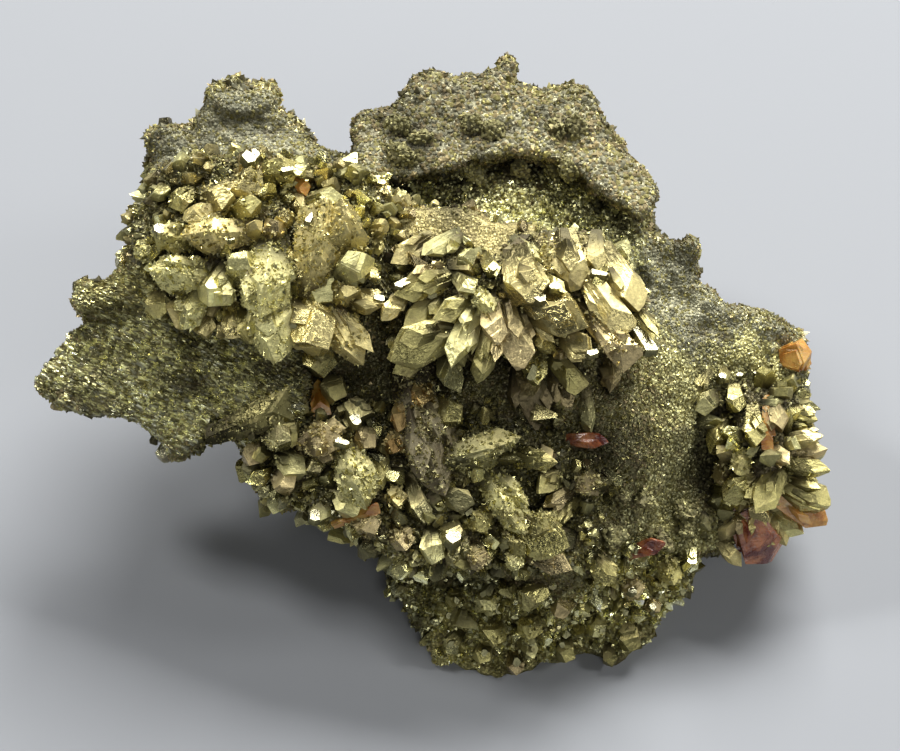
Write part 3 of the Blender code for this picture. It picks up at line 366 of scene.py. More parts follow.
BACK_HEIGHTS = (-0.45, 0.65)  # upward part of those directions
BACK_CLEAR = 3.0          # clear distance to other crystals
FAR = 90.0                # a distance outside everything
LEAN = (0.5, 0.5, 0.3)    # how far the smaller crystals lean from the surface's normal
BACK_STRETCH = 0.6        # length over width
LOWEST = 8.0              # lowest place of a crystal on the back
FACE_SIDE = -0.3          # the back ends where directions turn this near to the face

# Sphalerite crystals: root, tip, rise, width, habit.
SPHALERITES = {
    "sphalerite_low_right": (43.2, -17.8, 46.6, -18.4, -0.6, 3.0, "block"),
    "sphalerite_red": (40.2, -20.8, 39.9, -22.9, -0.6, 5.4, "block"),
    "sphalerite_right_edge": (42.8, 2.6, 44.9, 2.8, 0.8, 3.6, "block"),
    "sphalerite_centre": (-16.4, -1.6, -16.0, -4.9, 2.2, 1.9, "prism"),
    "sphalerite_under_ledge": (15.6, -8.0, 20.0, -8.3, 1.4, 1.9, "wedge"),
    "sphalerite_lower": (22.8, -22.0, 27.2, -20.8, 1.4, 2.0, "wedge"),
    "sphalerite_sliver": (39.6, -5.0, 39.7, -9.2, 1.8, 1.3, "prism"),
    "sphalerite_upper": (-18.8, 25.0, -18.1, 22.7, 1.8, 1.7, "block"),
    "sphalerite_front": (-12.6, -18.0, -9.0, -16.6, 1.8, 1.3, "prism"),
}
# Crystals too small for the CAD solids.
TINY_CRYSTALS = (
    (-23.9, 26.0, -23.4, 25.0, 1.6, 1.6, "block"),
    (-10.7, 13.4, -9.1, 12.3, 2.0, 1.5, "block"),
    (-9.2, 17.4, -8.7, 15.0, 1.6, 1.5, "blade"),
    (-20.8, 15.6, -20.0, 14.4, 1.8, 1.7, "block"),
    (19.8, 12.8, 17.9, 11.6, 2.4, 1.7, "block"),
    (15.6, -15.9, 12.7, -19.1, 2.4, 1.7, "blade"),
    (6.3, -28.6, 6.2, -29.4, 2.0, 1.7, "octa"),
    (34.4, 0.4, 34.0, -0.8, 1.8, 1.6, "block"),
    (37.6, -17.4, 37.2, -20.6, 1.8, 2.0, "wedge"),
    (39.4, -17.6, 39.6, -21.0, 2.2, 2.2, "block"),
    (41.6, -17.4, 42.0, -20.4, 2.0, 2.0, "wedge"),
    (38.4, -18.4, 38.2, -21.2, 2.6, 1.6, "blade"),
    (40.6, -18.4, 40.8, -21.4, 2.6, 1.7, "wedge"),
    (-3.4, -1.2, -3.6, -3.4, 4.4, 2.6, "block"),
    (-5.6, -3.4, -6.4, -6.6, 3.6, 2.2, "block"),
)

# Metal colours, as reflected at right angles.
OLIVE = (0.45, 0.405, 0.155)
BRASS = (0.65, 0.61, 0.28)
TAN = (0.58, 0.495, 0.215)
BRONZE = (0.48, 0.39, 0.195)
GREY = (0.39, 0.37, 0.235)
DARK = (0.18, 0.16, 0.085)
PALE = (0.47, 0.46, 0.31)
DIM = (0.27, 0.25, 0.12)
YELLOW = (0.84, 0.81, 0.42)
CRUST = (0.80, 0.68, 0.36)
RUST = (0.25, 0.215, 0.13)
AMBER = (0.42, 0.27, 0.10)

# Looks of the skin and its painted shade. Lengths are in millimetres here too.
HOLLOW_REACH = 9.0        # how far off something must be for a spot to count as open
LOOK_LEAN = 0.9           # how far the rays that look for it lean from the normal
LOOK_START = 0.5          # how far above the surface they start
SKIN_LIGHT = (0.15, 0.95)     # painted shade: lightness of the skin in a hollow, and how much the open adds
CRYSTAL_LIGHT = (0.25, 0.92)  # the same for the crystals
PATCH = 5.0               # size of the lighter and darker patches
PATCH_CHANGE = 0.5        # how much they change the lightness
PAINTED_SHADE_DEEPEST = -30.0      # depth w behind which the painted shadow patches below have no say
LEFT_RIDGE_LIGHT = 1.12   # the crystals of the left ridge are lighter
RIDGE_GRAIN_PAINTED_SHADE = 0.5   # painted shade: the grains on both ridges are darker, between their crystals
FINE_VOXEL = 0.66         # resolution of the skin that shows
FINE_RELIEF = ((3.2, 0.42), (1.6, 0.28), (0.8, 0.12))
DEEP_FROM = -17.0         # depth w behind which this relief is higher
DEEP_RELIEF = 2.4         # how many times higher
WING_FROM = -30.0         # u left of which it is higher too
WING_RELIEF = 1.7
BASE_HEIGHT = 0.01        # height at which the skin is cut flat
SOFT_ROUNDS = 4           # how often the colours of the regions are blended

# Growth of a crystal, in widths and lengths of it where nothing else is said.
BEVEL = 0.02              # bevel of its edges
BEVEL_FROM = 1.5          # width, in millimetres, from which a crystal has bevels
BEVEL_LEAST = 0.3         # length of the sum of two normals under which an edge stays sharp
BEVEL_FLAT = 2.2          # bevels fade as that length comes near to this
NO_VOLUME = 1e-7          # three planes that span less than this have no corner
TOUCHING = 1e-6           # how far past a plane a corner may lie
CUTS = 3                  # edges or corners cut off by other faces
CUT_RISE = (0.25, 0.85)   # upward part of those faces' directions
CUT_DEPTH = (0.04, 0.16)  # how deep they cut
STEP_RISE = (0.02, 0.045)     # how far a growth step stands out on one side
STEP_INSETS = (0.02, 0.04, 0.08, 0.2, 0.3)    # how far it stands back on the others
DETAIL_WIDTHS = (2.2, 3.2)    # widths, in millimetres, from which there are more steps
# Parallel and side crystals: how far out, how far up, and tilt in radians.
PARALLEL = ((0.1, 0.24), (-0.2, 0.1), (-0.09, 0.09))
PARALLEL_SIZE = (0.62, 0.85)  # their size over the crystal's
BESIDE = ((0.30, 0.42), (0.0, 0.45), (0.05, 0.35))
BESIDE_SIZE = (0.3, 0.55)
BESIDE_HABITS = ("wedge", "octa", "spear", "block")
OTHER_HABIT = 0.4         # share of the side crystals that have another habit
FLOOR_GAP = 0.05          # how far above the floor a crystal ends, in millimetres

# Tones of a crystal's faces.
TAN_SHARE = 0.55          # greatest share of tan, on faces that look up the face
TAN_RISE = (1.4, -0.1)    # how it rises with that look, and from where
FACE_LIGHT = (0.8, 1.12)  # lightness of single faces
LIFT_PAINTED_LIGHT = 0.12         # painted light and shade: how much lighter the faces that look up are, and darker those that look down
FACE_POLISH = (-0.3, 0.25)    # change of their polish
LIFT_DULL = 0.2           # how much duller they are
ROOT_FACES = -0.95        # faces that look down this much are the root's
ROOT_TONE = (0.5, 0.5, 0.5, 0.0)      # dims and dulls them
SOLID_LIGHT = (0.88, 1.12)    # lightness of single solids
LIGHT_AT = 0.6            # place along a crystal's length where its light is taken
POLISHES = (0.35, 0.45, 0.55, 0.65)   # of the large crystals
ROUND_POLISH = 0.2
SMALL_POLISHES = (0.3, 0.45, 0.6)
LUMPY_FIELDS = ("dome", "valley")     # fields whose crystals are dull lumps
LUMP_POLISH = 0.05
BACK_POLISH = 0.5
BACK_HABITS = ("chip", "octa")
COLOUR_MIX = {
    "ridge left": ((OLIVE, 2), (BRASS, 5), (TAN, 5), (BRONZE, 1)),
    "ridge right": ((OLIVE, 4), (BRASS, 2), (TAN, 3), (BRONZE, 4)),
    "terrace": ((OLIVE, 5), (BRASS, 1), (BRONZE, 3), (DIM, 4)),
    "bottom": ((OLIVE, 4), (BRASS, 4), (BRONZE, 2)),
    "cluster": ((OLIVE, 5), (BRASS, 2), (TAN, 1), (BRONZE, 2)),
    "back": ((OLIVE, 4), (BRASS, 1), (BRONZE, 2), (DARK, 2)),
}
# Share of the crystals that grains cover nearly to the tip.
ROUGH_SHARE = {"ridge left": 0.45, "ridge right": 0.1, "terrace": 0.45, "bottom": 0.3}

# Seeds of the random draws.
SEEDS = {"group": 1000, "tiny": 8000, "sphalerite": 9000, "regions": 99, "druse": 100,
         "coats": 500, "medium": 700, "mirrors": 3, "grains": 5, "templates": 11}
CRYSTAL_GROUPS = (
    ("ridge left", RIDGE_LEFT_CRYSTALS), ("ridge right", RIDGE_RIGHT_CRYSTALS),
    ("terrace", TERRACE_CRYSTALS), ("bottom", BOTTOM_CRYSTALS), ("cluster", CLUSTER_CRYSTALS),
)

# Small bright faces where the crystals flash: middle (u, v), width, length and heading in
# degrees. They mirror the key lamp, or the front lamp where the key lamp is hidden.
MIRRORS = (
    (-24.9, 27.3, 1.7, 2.6, 70), (-20.4, 25.6, 0.7, 1.8, 20), (-36.3, 18.2, 1.3, 1.5, 90),
    (-17.4, 19.8, 0.6, 2.6, 60), (-6.0, 11.4, 1.0, 2.0, 40), (-8.9, 9.6, 0.9, 1.6, 150),
    (-11.9, -5.6, 1.3, 1.7, 100), (-13.6, -8.4, 0.9, 1.8, 160), (-16.9, -17.6, 1.2, 1.8, 80),
    (0.4, -20.3, 2.0, 1.7, 90), (10.3, 0.4, 0.9, 2.0, 80), (24.3, 4.4, 1.5, 4.6, 110),
    (34.0, -0.2, 1.0, 1.1, 0), (36.1, 0.0, 0.8, 0.9, 0), (38.2, 0.3, 0.8, 1.0, 0),
    (6.3, -29.2, 1.0, 1.3, 60), (12.8, -26.3, 0.9, 1.1, 20), (11.2, 9.6, 1.4, 1.3, 20),
    (5.3, 13.3, 0.9, 1.0, 60), (13.0, 11.0, 0.9, 1.4, 10), (18.7, 12.6, 0.7, 2.2, 0),
    (-2.2, 10.0, 0.8, 1.2, 30), (-19.6, 6.2, 0.7, 0.9, 0), (-27.3, 16.9, 0.5, 0.9, 40),
    (17.8, 2.7, 0.7, 1.6, 20), (2.4, -17.0, 0.6, 1.3, 50), (22.7, -27.0, 0.9, 1.2, 30),
    (-7.2, -16.8, 0.8, 1.2, 80), (3.1, -27.9, 0.8, 0.7, 0), (0.8, -28.1, 0.9, 0.6, 10),
    (-0.1, -30.0, 0.8, 0.8, 30), (7.1, -31.8, 0.6, 0.9, 20), (8.3, -35.8, 1.2, 0.9, 0),
    (14.6, -32.3, 0.9, 1.2, 40), (14.0, -33.6, 0.8, 0.7, 0), (23.2, -28.8, 1.0, 0.8, 0),
    (25.3, -29.1, 1.1, 0.7, 160), (21.9, -29.6, 0.9, 0.6, 20), (19.0, -31.8, 0.6, 0.8, 0),
    (10.2, -33.5, 0.8, 0.6, 30), (4.3, -34.6, 0.8, 1.0, 60), (29.1, -27.0, 0.9, 0.7, 0),
    (0.1, -33.5, 1.0, 0.7, 120),
)
MIRROR_THICKNESS = 0.12
MIRROR_RISE = 0.25        # height of its middle over the surface
MIRROR_ROOT = 0.3         # depth under half its width
MIRROR_SIDES = 6
MIRROR_TURN = 14          # degrees by which a side turns
MIRROR_TAPER = 0.15
MIRROR_REACH = (0.85, 1.1)
MIRROR_BEVEL = 0.03
LAMP_START = 0.4          # how far off the surface the rays to the lamp start
KEY_TONE = (0.84, 0.79, 0.5, 1.0)     # colour and polish for each lamp
FRONT_TONE = (0.84, 0.8, 0.42, 0.4)
# Directions to the lamps, and to the edges of the key lamp from its middle.
TO_KEY = Vector((0.3, 0.75, 0.95)).normalized()
TO_FRONT = Vector((0.15, -0.9, 0.9)).normalized()
LAMP_EDGES = [Vector(edge) for edge in ((0, 0, 0), (0.2, 0, 0), (-0.2, 0, 0), (0, -0.2, 0))]
MOST_BLOCKED = 2          # rays that may be blocked while the mirror still sees the key lamp

# Colours that the photograph gives to certain crystals, by their tips (u, v).
TINTS = (
    (TAN, ((-15.4, 3.6), (-10.4, 1.3), (-11.2, 10.7), (-8.3, 9.1), (-13.6, 21.4), (-32.5, 17.4),
           (15.6, 10.3), (22, 5.8), (23.9, 7.7), (17.5, 6.2), (9.9, 9.4), (12.9, 13.2),
           (18.3, 13.4), (-7.5, 14), (-6.4, -16.2), (-23.6, 24.2), (-27.4, 22.4))),
    (BRASS, ((-36.4, 13), (30.9, -4.1), (-33.8, 5.6), (-23.4, 8.2), (-30.2, 8.4), (-21.9, 1),
             (-25.6, 15.2), (0.2, 1), (7.4, -8.2), (-10.6, -15.6), (-3.5, 14.8), (8.6, -18.6),
             (-14.8, 10.8))),
    (OLIVE, ((-8, 2.1), (-7.2, 10.2), (3.7, -1.3), (16.3, -1.7), (15.1, -22.1), (-2.3, 7.1),
             (-18.3, -2.8), (20.6, -26))),
    (BRONZE, ((8.7, 0.2), (10.8, -7.1), (18.9, -4.3), (22.9, 1.8), (-13.2, -8.4), (15.2, -4.4))),
    (DIM, ((-12.1, -5.4),)),
    (AMBER, ((-3.6, -3.4), (-7, -9.4), (-6.4, -6.6))),
    (RUST, ((-1.8, -12.9),)),
)
# Painted shadow and painted light: middle (u, v), half width and half height of a dark or light
# patch, and its strength. The dark ones are painted shade in hollows and under overhangs; those of
# negative strength are painted light.
PAINTED_SHADE_PATCHES = (
    (6.5, -6.0, 6.0, 3.5, 0.65), (18.8, -8.2, 7.0, 4.5, 0.65), (-14.5, 0.2, 9.0, 2.4, 0.5),
    (-5.6, 1.4, 2.6, 4.0, 0.5), (-45.2, -6.0, 3.4, 2.6, 0.5), (-30.5, -9.8, 4.0, 2.0, 0.5),
    (-32.6, -1.0, 3.6, 1.6, 0.4), (-46.0, -1.6, 2.4, 1.2, 0.4), (-3.0, 31.0, 7.0, 6.0, 0.4),
    (31.5, -13.0, 2.0, 3.4, 0.85), (22.0, -15.0, 6.0, 6.0, 0.45), (-42.8, 8.4, 4.0, 1.6, 0.45),
    (-23.0, 0.0, 6.0, 2.0, 0.4), (2.0, -25.6, 9.0, 1.3, 0.75), (14.0, 26.0, 9.0, 5.0, -0.2),
    (-41.0, 3.0, 6.0, 3.0, -0.15), (-3.6, -31.0, 2.4, 4.0, 0.5), (20.0, -35.0, 4.0, 1.6, 0.4),
    (2.0, 24.4, 3.0, 1.2, 0.7), (6.9, 25.9, 3.0, 1.3, 0.8), (11.2, 25.9, 3.0, 1.3, 0.85),
    (15.6, 24.0, 2.4, 1.6, 0.85), (18.8, 21.4, 2.0, 1.8, 0.8), (21.6, 18.8, 1.8, 1.8, 0.7),
    (0.5, 21.5, 2.2, 1.5, 0.6),
)

# Druse of each region: kind of grain, spacing, least and greatest width, length over width,
# heading in (u, v), how much the grains follow it, how much they stray, polish, and the metals
# they are mixed from.
DRUSE = {
    "wing": ("aligned", 0.42, 0.34, 0.78, 1.7, (-0.9, 0.4), 1.6, 0.22, 0.6,
             (YELLOW, YELLOW, PALE, DIM)),
    "left_lobe": ("aligned", 0.42, 0.34, 0.6, 1.6, (-0.9, 0.3), 1.2, 0.3, 0.45,
                  (YELLOW, OLIVE, DIM)),
    "fin": ("round", 0.42, 0.4, 0.7, 0.6, (0.0, 0.4), 0.2, 0.2, 0.0, (GREY, PALE, OLIVE)),
    "dome": ("round", 0.52, 0.5, 1.0, 0.65, (0.0, -0.3), 0.2, 0.2, 0.08, (OLIVE, GREY, BRONZE)),
    "hollow_floor": ("round", 0.50, 0.45, 0.9, 0.8, (0, 0), 0.0, 0.4, 0.5,
                     (YELLOW, YELLOW, BRASS)),
    "slope": ("round", 0.40, 0.36, 0.66, 0.75, (0.3, -0.2), 0.3, 0.3, 0.25,
              (BRASS, BRASS, YELLOW)),
    "slope_top": ("round", 0.38, 0.34, 0.62, 0.7, (0.3, -0.2), 0.3, 0.25, 0.05,
                  (PALE, PALE, OLIVE)),
    "cluster": ("sharp", 0.50, 0.4, 0.8, 1.0, (0.2, -0.3), 0.3, 0.5, 0.3, (OLIVE, DARK, DARK)),
    "crust": ("fine", 0.25, 0.2, 0.34, 0.6, (0, 0), 0.0, 0.3, 0.0, (TAN, TAN, CRUST)),
    "bottom_lobe": ("coarse", 0.52, 0.5, 1.0, 1.2, (0, -0.4), 0.3, 0.6, 0.65,
                    (YELLOW, YELLOW, BRASS, DIM)),
    "terrace": ("sharp", 0.44, 0.4, 0.8, 1.2, (-0.1, -0.5), 0.3, 0.6, 0.5,
                (OLIVE, OLIVE, GREY, BRASS)),
    "ridge_left": ("sharp", 0.42, 0.38, 0.8, 1.2, (-0.2, -0.4), 0.3, 0.6, 0.6,
                   (OLIVE, BRASS, GREY, TAN)),
    "ridge_right": ("sharp", 0.42, 0.38, 0.8, 1.2, (0.1, -0.5), 0.3, 0.6, 0.5,
                    (OLIVE, GREY, TAN, BRONZE)),
    "gap": ("fine", 0.44, 0.4, 0.8, 0.9, (0, -0.3), 0.3, 0.5, 0.3, (OLIVE, OLIVE, BRONZE)),
    "back": ("sharp", 0.80, 0.7, 1.5, 0.9, (0, 0), 0.0, 0.6, 0.4, (OLIVE, DARK, BRONZE, GREY)),
}
# Least lightness of the grains, which lifts the painted hollow shade there; the painted shadow
# patches still darken it.
LEAST_PAINTED_LIGHT = {"hollow_floor": 1.15, "bottom_lobe": 0.9}
# Small whole crystals among the large ones: spacing, least and greatest width, polish, metals.
MEDIUM = {
    "ridge_left": (1.7, 0.9, 1.9, 0.6, (OLIVE, BRASS, BRASS, TAN)),
    "ridge_right": (1.6, 0.9, 1.9, 0.6, (OLIVE, BRASS, TAN, BRONZE)),
    "terrace": (1.6, 0.9, 2.0, 0.6, (OLIVE, BRASS, DIM, DIM)),
    "bottom_lobe": (1.6, 0.8, 1.7, 0.9, (BRASS, YELLOW, YELLOW, OLIVE)),
    "cluster": (1.9, 1.4, 2.6, 0.45, (OLIVE, BRASS, BRASS, TAN)),
    "back": (4.5, 1.0, 2.4, 0.45, (OLIVE, DARK, BRONZE, GREY)),
}
# Grains on the crystals by kind: spacing, least and greatest width, how bare they are at the
# root and how much more at the tip, kind of grain, share of the metals mixed in, and polish.
COATS = {
    "round": (0.40, 0.25, 0.85, -0.35, 0.0, "fine", 0.5, 0.9),
    "lump": (0.42, 0.45, 0.8, -9.0, 0.0, "round", 0.25, 0.3),
    "rough": (0.46, 0.20, 0.75, -0.40, 0.4, "fine", 0.5, 0.9),
    "block": (0.52, 0.18, 0.7, -0.03, 1.0, "fine", 0.5, 0.9),
}
REGION_NAMES = tuple(DRUSE)
BACK, GAP, CLUSTER, CRUST_BAND, SLOPE, SLOPE_TOP = (
    REGION_NAMES.index(name) for name in ("back", "gap", "cluster", "crust", "slope", "slope_top"))
# Ledges by whose outlines the skin is parted, the first before the others.
REGION_ORDER = ("wing", "left_lobe", "fin", "dome", "hollow_floor", "terrace", "bottom_lobe",
                "ridge_left", "ridge_right", "slope")
RIDGES = ("ridge_left", "ridge_right")
LEDGE_NEAR = 6.0          # how near in w to a ledge's front its region reaches
LEDGE_FACING = -0.35      # least turn toward the viewer of a ledge's region
GAP_DEEPEST = -24.0       # depth w where the gaps between the ledges end
CLUSTER_MIDDLE = (38.8, -10.8)
CLUSTER_RADII = (7.4, 10.4)
CRUST_BOX = (-6, 21, 15.6, 21.5)      # u and v limits of the crust on the right ridge
CRUST_DEEPEST = -12.5
# Colour and polish of the skin in each region. The dim skin of the ridges and the gap is partly
# painted shade between their crystals and ledges.
BODY_TONES = {
    "wing": (DIM, 0.35), "left_lobe": (OLIVE, 0.2), "fin": (GREY, 0.0), "dome": (GREY, 0.1),
    "hollow_floor": (BRASS, 0.3), "slope": (OLIVE, 0.2), "slope_top": (GREY, 0.0),
    "cluster": (DARK, 0.2), "crust": (TAN, 0.0), "bottom_lobe": (OLIVE, 0.2),
    "terrace": (DIM, 0.25), "ridge_left": (DIM, 0.3), "ridge_right": (DIM, 0.3),
    "gap": (DIM, 0.2), "back": (OLIVE, 0.2),
}
# The druse's pieces and the regions that each joins.
DRUSE_PIECES = (
    ("druse_left", ("wing", "left_lobe", "fin", "ridge_left")),
    ("druse_middle", ("ridge_right", "crust", "terrace", "gap")),
    ("druse_right", ("slope", "slope_top", "cluster", "dome", "hollow_floor", "bottom_lobe")),
    ("druse_back", ("back",)),
)
REGION_BLUR = 0.9         # how far grains of two regions mix
TRIES = 2.2               # places tried for each cell of the spacing
CELL_CODE = np.array((73856093, 19349663, 83492791))
NEAR_CRYSTAL = 1.3        # lengths from a large crystal's root within which grains are tested
BURIED = 0.1              # depth in a large crystal from which a grain is left out
GRAIN_LOWEST = 0.35       # lowest grains of the skin, small whole crystals and coats
MEDIUM_LOWEST = 2.0
COAT_LOWEST = 0.5
MEDIUM_DARKEST = 0.55     # lightness under which no small whole crystal stands
MEDIUM_BACK = -0.35       # those of the back stand where the skin turns this far from the face
GRAIN_FLATNESS = (0.7, 1.1)
GRAIN_LENGTHS = (0.7, 1.3)
ALIGNED_RISE = 0.6        # how far aligned grains follow the normal and not the face
TWIST = 0.15              # how far they turn from their heading
FLOOR_NEAR = 1.5          # height under which grains shrink, down to this share:
FLOOR_SHARE = 0.2
MEDIUM_LEAD = 0.6         # how much small whole crystals follow their region's heading
MEDIUM_STRAY = 0.45
MEDIUM_CHANGE = (0.8, 1.2)
COAT_STRAY = 0.4
COAT_LENGTH = 1.1         # length of their grains over their width
COAT_COLOUR = 0.5         # share of the crystal's own colour in its grains
OPEN_SKIN = -0.1          # how far under the skin a coat still goes
# Powers of the random draws of widths: a higher one gives more small ones.
GRAIN_POWER = 2
MEDIUM_POWER = 1.6
COAT_POWER = 3
SHINE_SPREAD = (0.12, 0.5)    # how the polish of grains varies, and how much more if polished
SHINE_LIGHT = (0.5, 0.8)      # lightness of dull grains, and how much the polish adds
FACET_CHANGE = 0.3        # change of polish and lightness between the triangles of grains
FACET_SHINE = 0.8         # how much of it goes to the polish
FACET_LIGHT = 0.4         # how much of it goes to a dull triangle's lightness
GRAIN_TIP_PAINTED_LIGHT = 1.4           # painted light: lightness of a grain's tip
TEXTURE_SPREAD = 50.0     # how far apart the grains lie in their shared texture
GRAIN_ROOT_PAINTED_SHADE = 0.25         # painted shade: lightness of a grain's root
DULL_GRAIN_ROOT_PAINTED_SHADE = 0.5     # the same painted shade for dull grains
DULL = 0.2                # polish up to which grains count as dull
COAT_PATCH = 1.6          # size of the patches of grains on a crystal
UPWARD = 0.35             # faces that look up the face more than this have fewer grains
UPWARD_SHARE = 0.25
COAT_METALS = np.array((OLIVE, BRASS, BRASS))
TEMPLATE_LENGTH = 1.2     # length of the copied crystals, which are 1 wide
TEMPLATE_ROOT = 0.6       # how far they go down

RED_NODES = ("sphalerite_red", "sphalerite_under_ledge", "sphalerite_lower")
# Looks of the resin: colour, pale colour of its clouds, roughness.
RESINS = {
    "sphalerite_orange": ((0.34, 0.125, 0.012, 1), (0.64, 0.36, 0.09, 1), 0.25),
    "sphalerite_red": ((0.10, 0.012, 0.005, 1), (0.46, 0.17, 0.065, 1), 0.22),
}
RESIN_POLISH = 0.8
# Colour of the tarnish on the metal, and height of the finest relief.
TARNISH = (0.20, 0.145, 0.09, 1)
BUMP = 0.0001             # in metres

# Stage, in metres. Lamps: name, direction, width and height, power in watts.
LAMPS = (
    ("key", TO_KEY, (0.55, 0.45), 17.5),
    ("top_left", (-0.7, 0.25, 0.9), (0.2, 0.2), 4.5),
    ("front", TO_FRONT, (0.33, 0.27), 1.5),
    ("right", (0.95, -0.1, 0.6), (0.17, 0.17), 2.2),
)
LAMP_DISTANCE = 1.0
LAMP_AIM = Vector((0, 0, 0.025))
FLOOR_HALF = 1.5
FLOOR_COLOUR = (0.32, 0.33, 0.345, 1)
WORLD_COLOUR = (0.045, 0.048, 0.052, 1)
CAMERA_DISTANCE = 300     # from the face frame's origin, in millimetres


# ---------------------------------------------------------------- frames

UP_FACE = Vector((0, math.cos(math.radians(FACE_LEAN)), math.sin(math.radians(FACE_LEAN))))
OUT_OF_FACE = Vector((0, -UP_FACE.z, UP_FACE.y))
RIGHT = Vector((1, 0, 0))
UP = Vector((0, 0, 1))
DOWN = Vector((0, 0, -1))
FACE_ORIGIN = Vector((-CENTRE_X, -CENTRE_Y, FLOOR_DROP))
UP_NP = np.array(UP_FACE)
OUT_NP = np.array(OUT_OF_FACE)
RIGHT_NP = np.array(RIGHT)


def place(u, v, w):
    """World position, in millimetres, of a point of the face frame."""
    spread = 1.0 - w * SPREAD
    return RIGHT * (u * spread) + UP_FACE * (v * spread) + OUT_OF_FACE * w + FACE_ORIGIN


def face_coordinates(points):
    """u, v and w of an array of world points."""
    offset = points - np.array(FACE_ORIGIN)
    w = offset @ OUT_NP
    spread = 1.0 - w * SPREAD
    return offset[:, 0] / spread, offset @ UP_NP / spread, w


def face_depth(point):
    """Depth w of a world point."""
    return (point - FACE_ORIGIN).dot(OUT_OF_FACE)


def ledge_front(u, v, anchor, slope):
    """Depth w of a ledge's front at (u, v)."""
    u0, v0, w0 = anchor
    return w0 + slope[0] * (u - u0) + slope[1] * (v - v0)


def line_into(u, v):
    """A line into the face along which u and v stay the same: start and direction."""
    start = place(u, v, ABOVE_FACE)
    return start, (place(u, v, 0) - start).normalized()


def round_z(angle, height=0.0):
    """Direction at an angle round the Z axis, with a height."""
    return Vector((math.cos(angle), math.sin(angle), height))


def unit(vectors):
    """The vectors at length 1."""
    return vectors / np.maximum(np.linalg.norm(vectors, axis=1, keepdims=True), 1e-9)


def turn_of(matrix):
    """The turn in a matrix, as an array."""
    return np.array(matrix.to_3x3())


def in_world(points, matrix):
    """World positions of a solid's points."""
    return points @ turn_of(matrix).T + np.array(matrix.translation)


def in_solid(points, matrix):
    """Positions in a solid's own frame of world points."""
    return (points - np.array(matrix.translation)) @ turn_of(matrix)


# ---------------------------------------------------------------- body

def add_ledge(bm, outline, anchor, slope, thickness):
    """Prism of a ledge's outline between its front and its uneven back."""
    rng = random.Random(len(outline))
    front = []
    back = []
    for u, v in outline:
        w = ledge_front(u, v, anchor, slope)
        front.append(bm.verts.new(place(u, v, w)))
        back.append(bm.verts.new(place(u, v, w - thickness * rng.uniform(*BACK_CHANGE))))
    bm.faces.new(front)
    bm.faces.new(back[::-1])
    for i in range(len(front)):
        j = (i + 1) % len(front)
        bm.faces.new((front[j], front[i], back[i], back[j]))


def add_lump(bm, centre, radii, axes):
    """Ellipsoid with its radii along three axes."""
    turn = Matrix(axes).transposed().to_4x4()
    scale = Matrix.Diagonal((*radii, 1.0))
    matrix = Matrix.Translation(centre) @ turn @ scale
    bmesh.ops.create_icosphere(bm, subdivisions=3, radius=1.0, matrix=matrix)


def mesh_from(bm, name):
    """Hand the bmesh over to a new mesh, with its faces pointing out."""
    bmesh.ops.recalc_face_normals(bm, faces=bm.faces)
    mesh = bpy.data.meshes.new(name)
    bm.to_mesh(mesh)
    bm.free()
    return mesh


def add_object(name, data):
    """An object in the scene, with its mesh, lamp or camera."""
    obj = bpy.data.objects.new(name, data)
    bpy.context.scene.collection.objects.link(obj)
    return obj


def modified(mesh, kind, **values):
    """The mesh with one modifier applied."""
    guide = add_object("guide", mesh)
    modifier = guide.modifiers.new("modifier", kind)
    for key, value in values.items():
        setattr(modifier, key, value)
    depsgraph = bpy.context.evaluated_depsgraph_get()
    result = bpy.data.meshes.new_from_object(guide.evaluated_get(depsgraph))
    bpy.data.objects.remove(guide)
    return result


def fused(mesh, voxel):
    """One skin round everything in the mesh."""
    return modified(mesh, "REMESH", mode="VOXEL", voxel_size=voxel)


def simplified(mesh, faces):
    """The mesh with about so many triangles."""
    triangles = sum(len(polygon.vertices) - 2 for polygon in mesh.polygons)
    return modified(mesh, "DECIMATE", ratio=faces / triangles, use_collapse_triangulate=True)


def fused_body():
    """Ledges and lumps fused by remeshing."""
    bm = bmesh.new()
    for outline, anchor, slope, thickness in LEDGES.values():
        add_ledge(bm, outline, anchor, slope, thickness)
    for centre, radii in FACE_LUMPS:
        add_lump(bm, place(*centre), radii, (RIGHT, UP_FACE, OUT_OF_FACE))
    for centre, radii in CORE_LUMPS:
        place_on_base = Vector(centre) - Vector((CENTRE_X, CENTRE_Y, 0))
        add_lump(bm, place_on_base, radii, (RIGHT, Vector((0, 1, 0)), UP))
    return fused(mesh_from(bm, "ledges and lumps"), VOXEL)


def push_out(mesh, shift_at):
    """Move each vertex along its normal by what the function gives for its place."""
    normals = [vertex.normal.copy() for vertex in mesh.vertices]
    for vertex, normal in zip(mesh.vertices, normals):
        vertex.co += normal * shift_at(vertex.co)


def lumps(spot, relief):
    """Height at a place of noise with wavelengths and heights."""
    return sum(height * noise.noise(spot / length) for length, height in relief)


def body_relief(spot):
    """Relief of the body, higher on the broken back."""
    share = min(1.0, max(0.0, (face_depth(spot) - BACK_FROM) / (BACK_FULL - BACK_FROM)))
    shift = lumps(spot - FACE_ORIGIN, RELIEF)
    return shift + share * lumps(spot - FACE_ORIGIN, BACK_RELIEF)


def skin_relief(spot):
    """Fine relief of the skin that shows, higher deep in the face and on the wing."""
    shift = lumps(spot, FINE_RELIEF)
    if face_depth(spot) < DEEP_FROM:
        return shift * DEEP_RELIEF
    if (spot - FACE_ORIGIN).x < WING_FROM:
        return shift * WING_RELIEF
    return shift


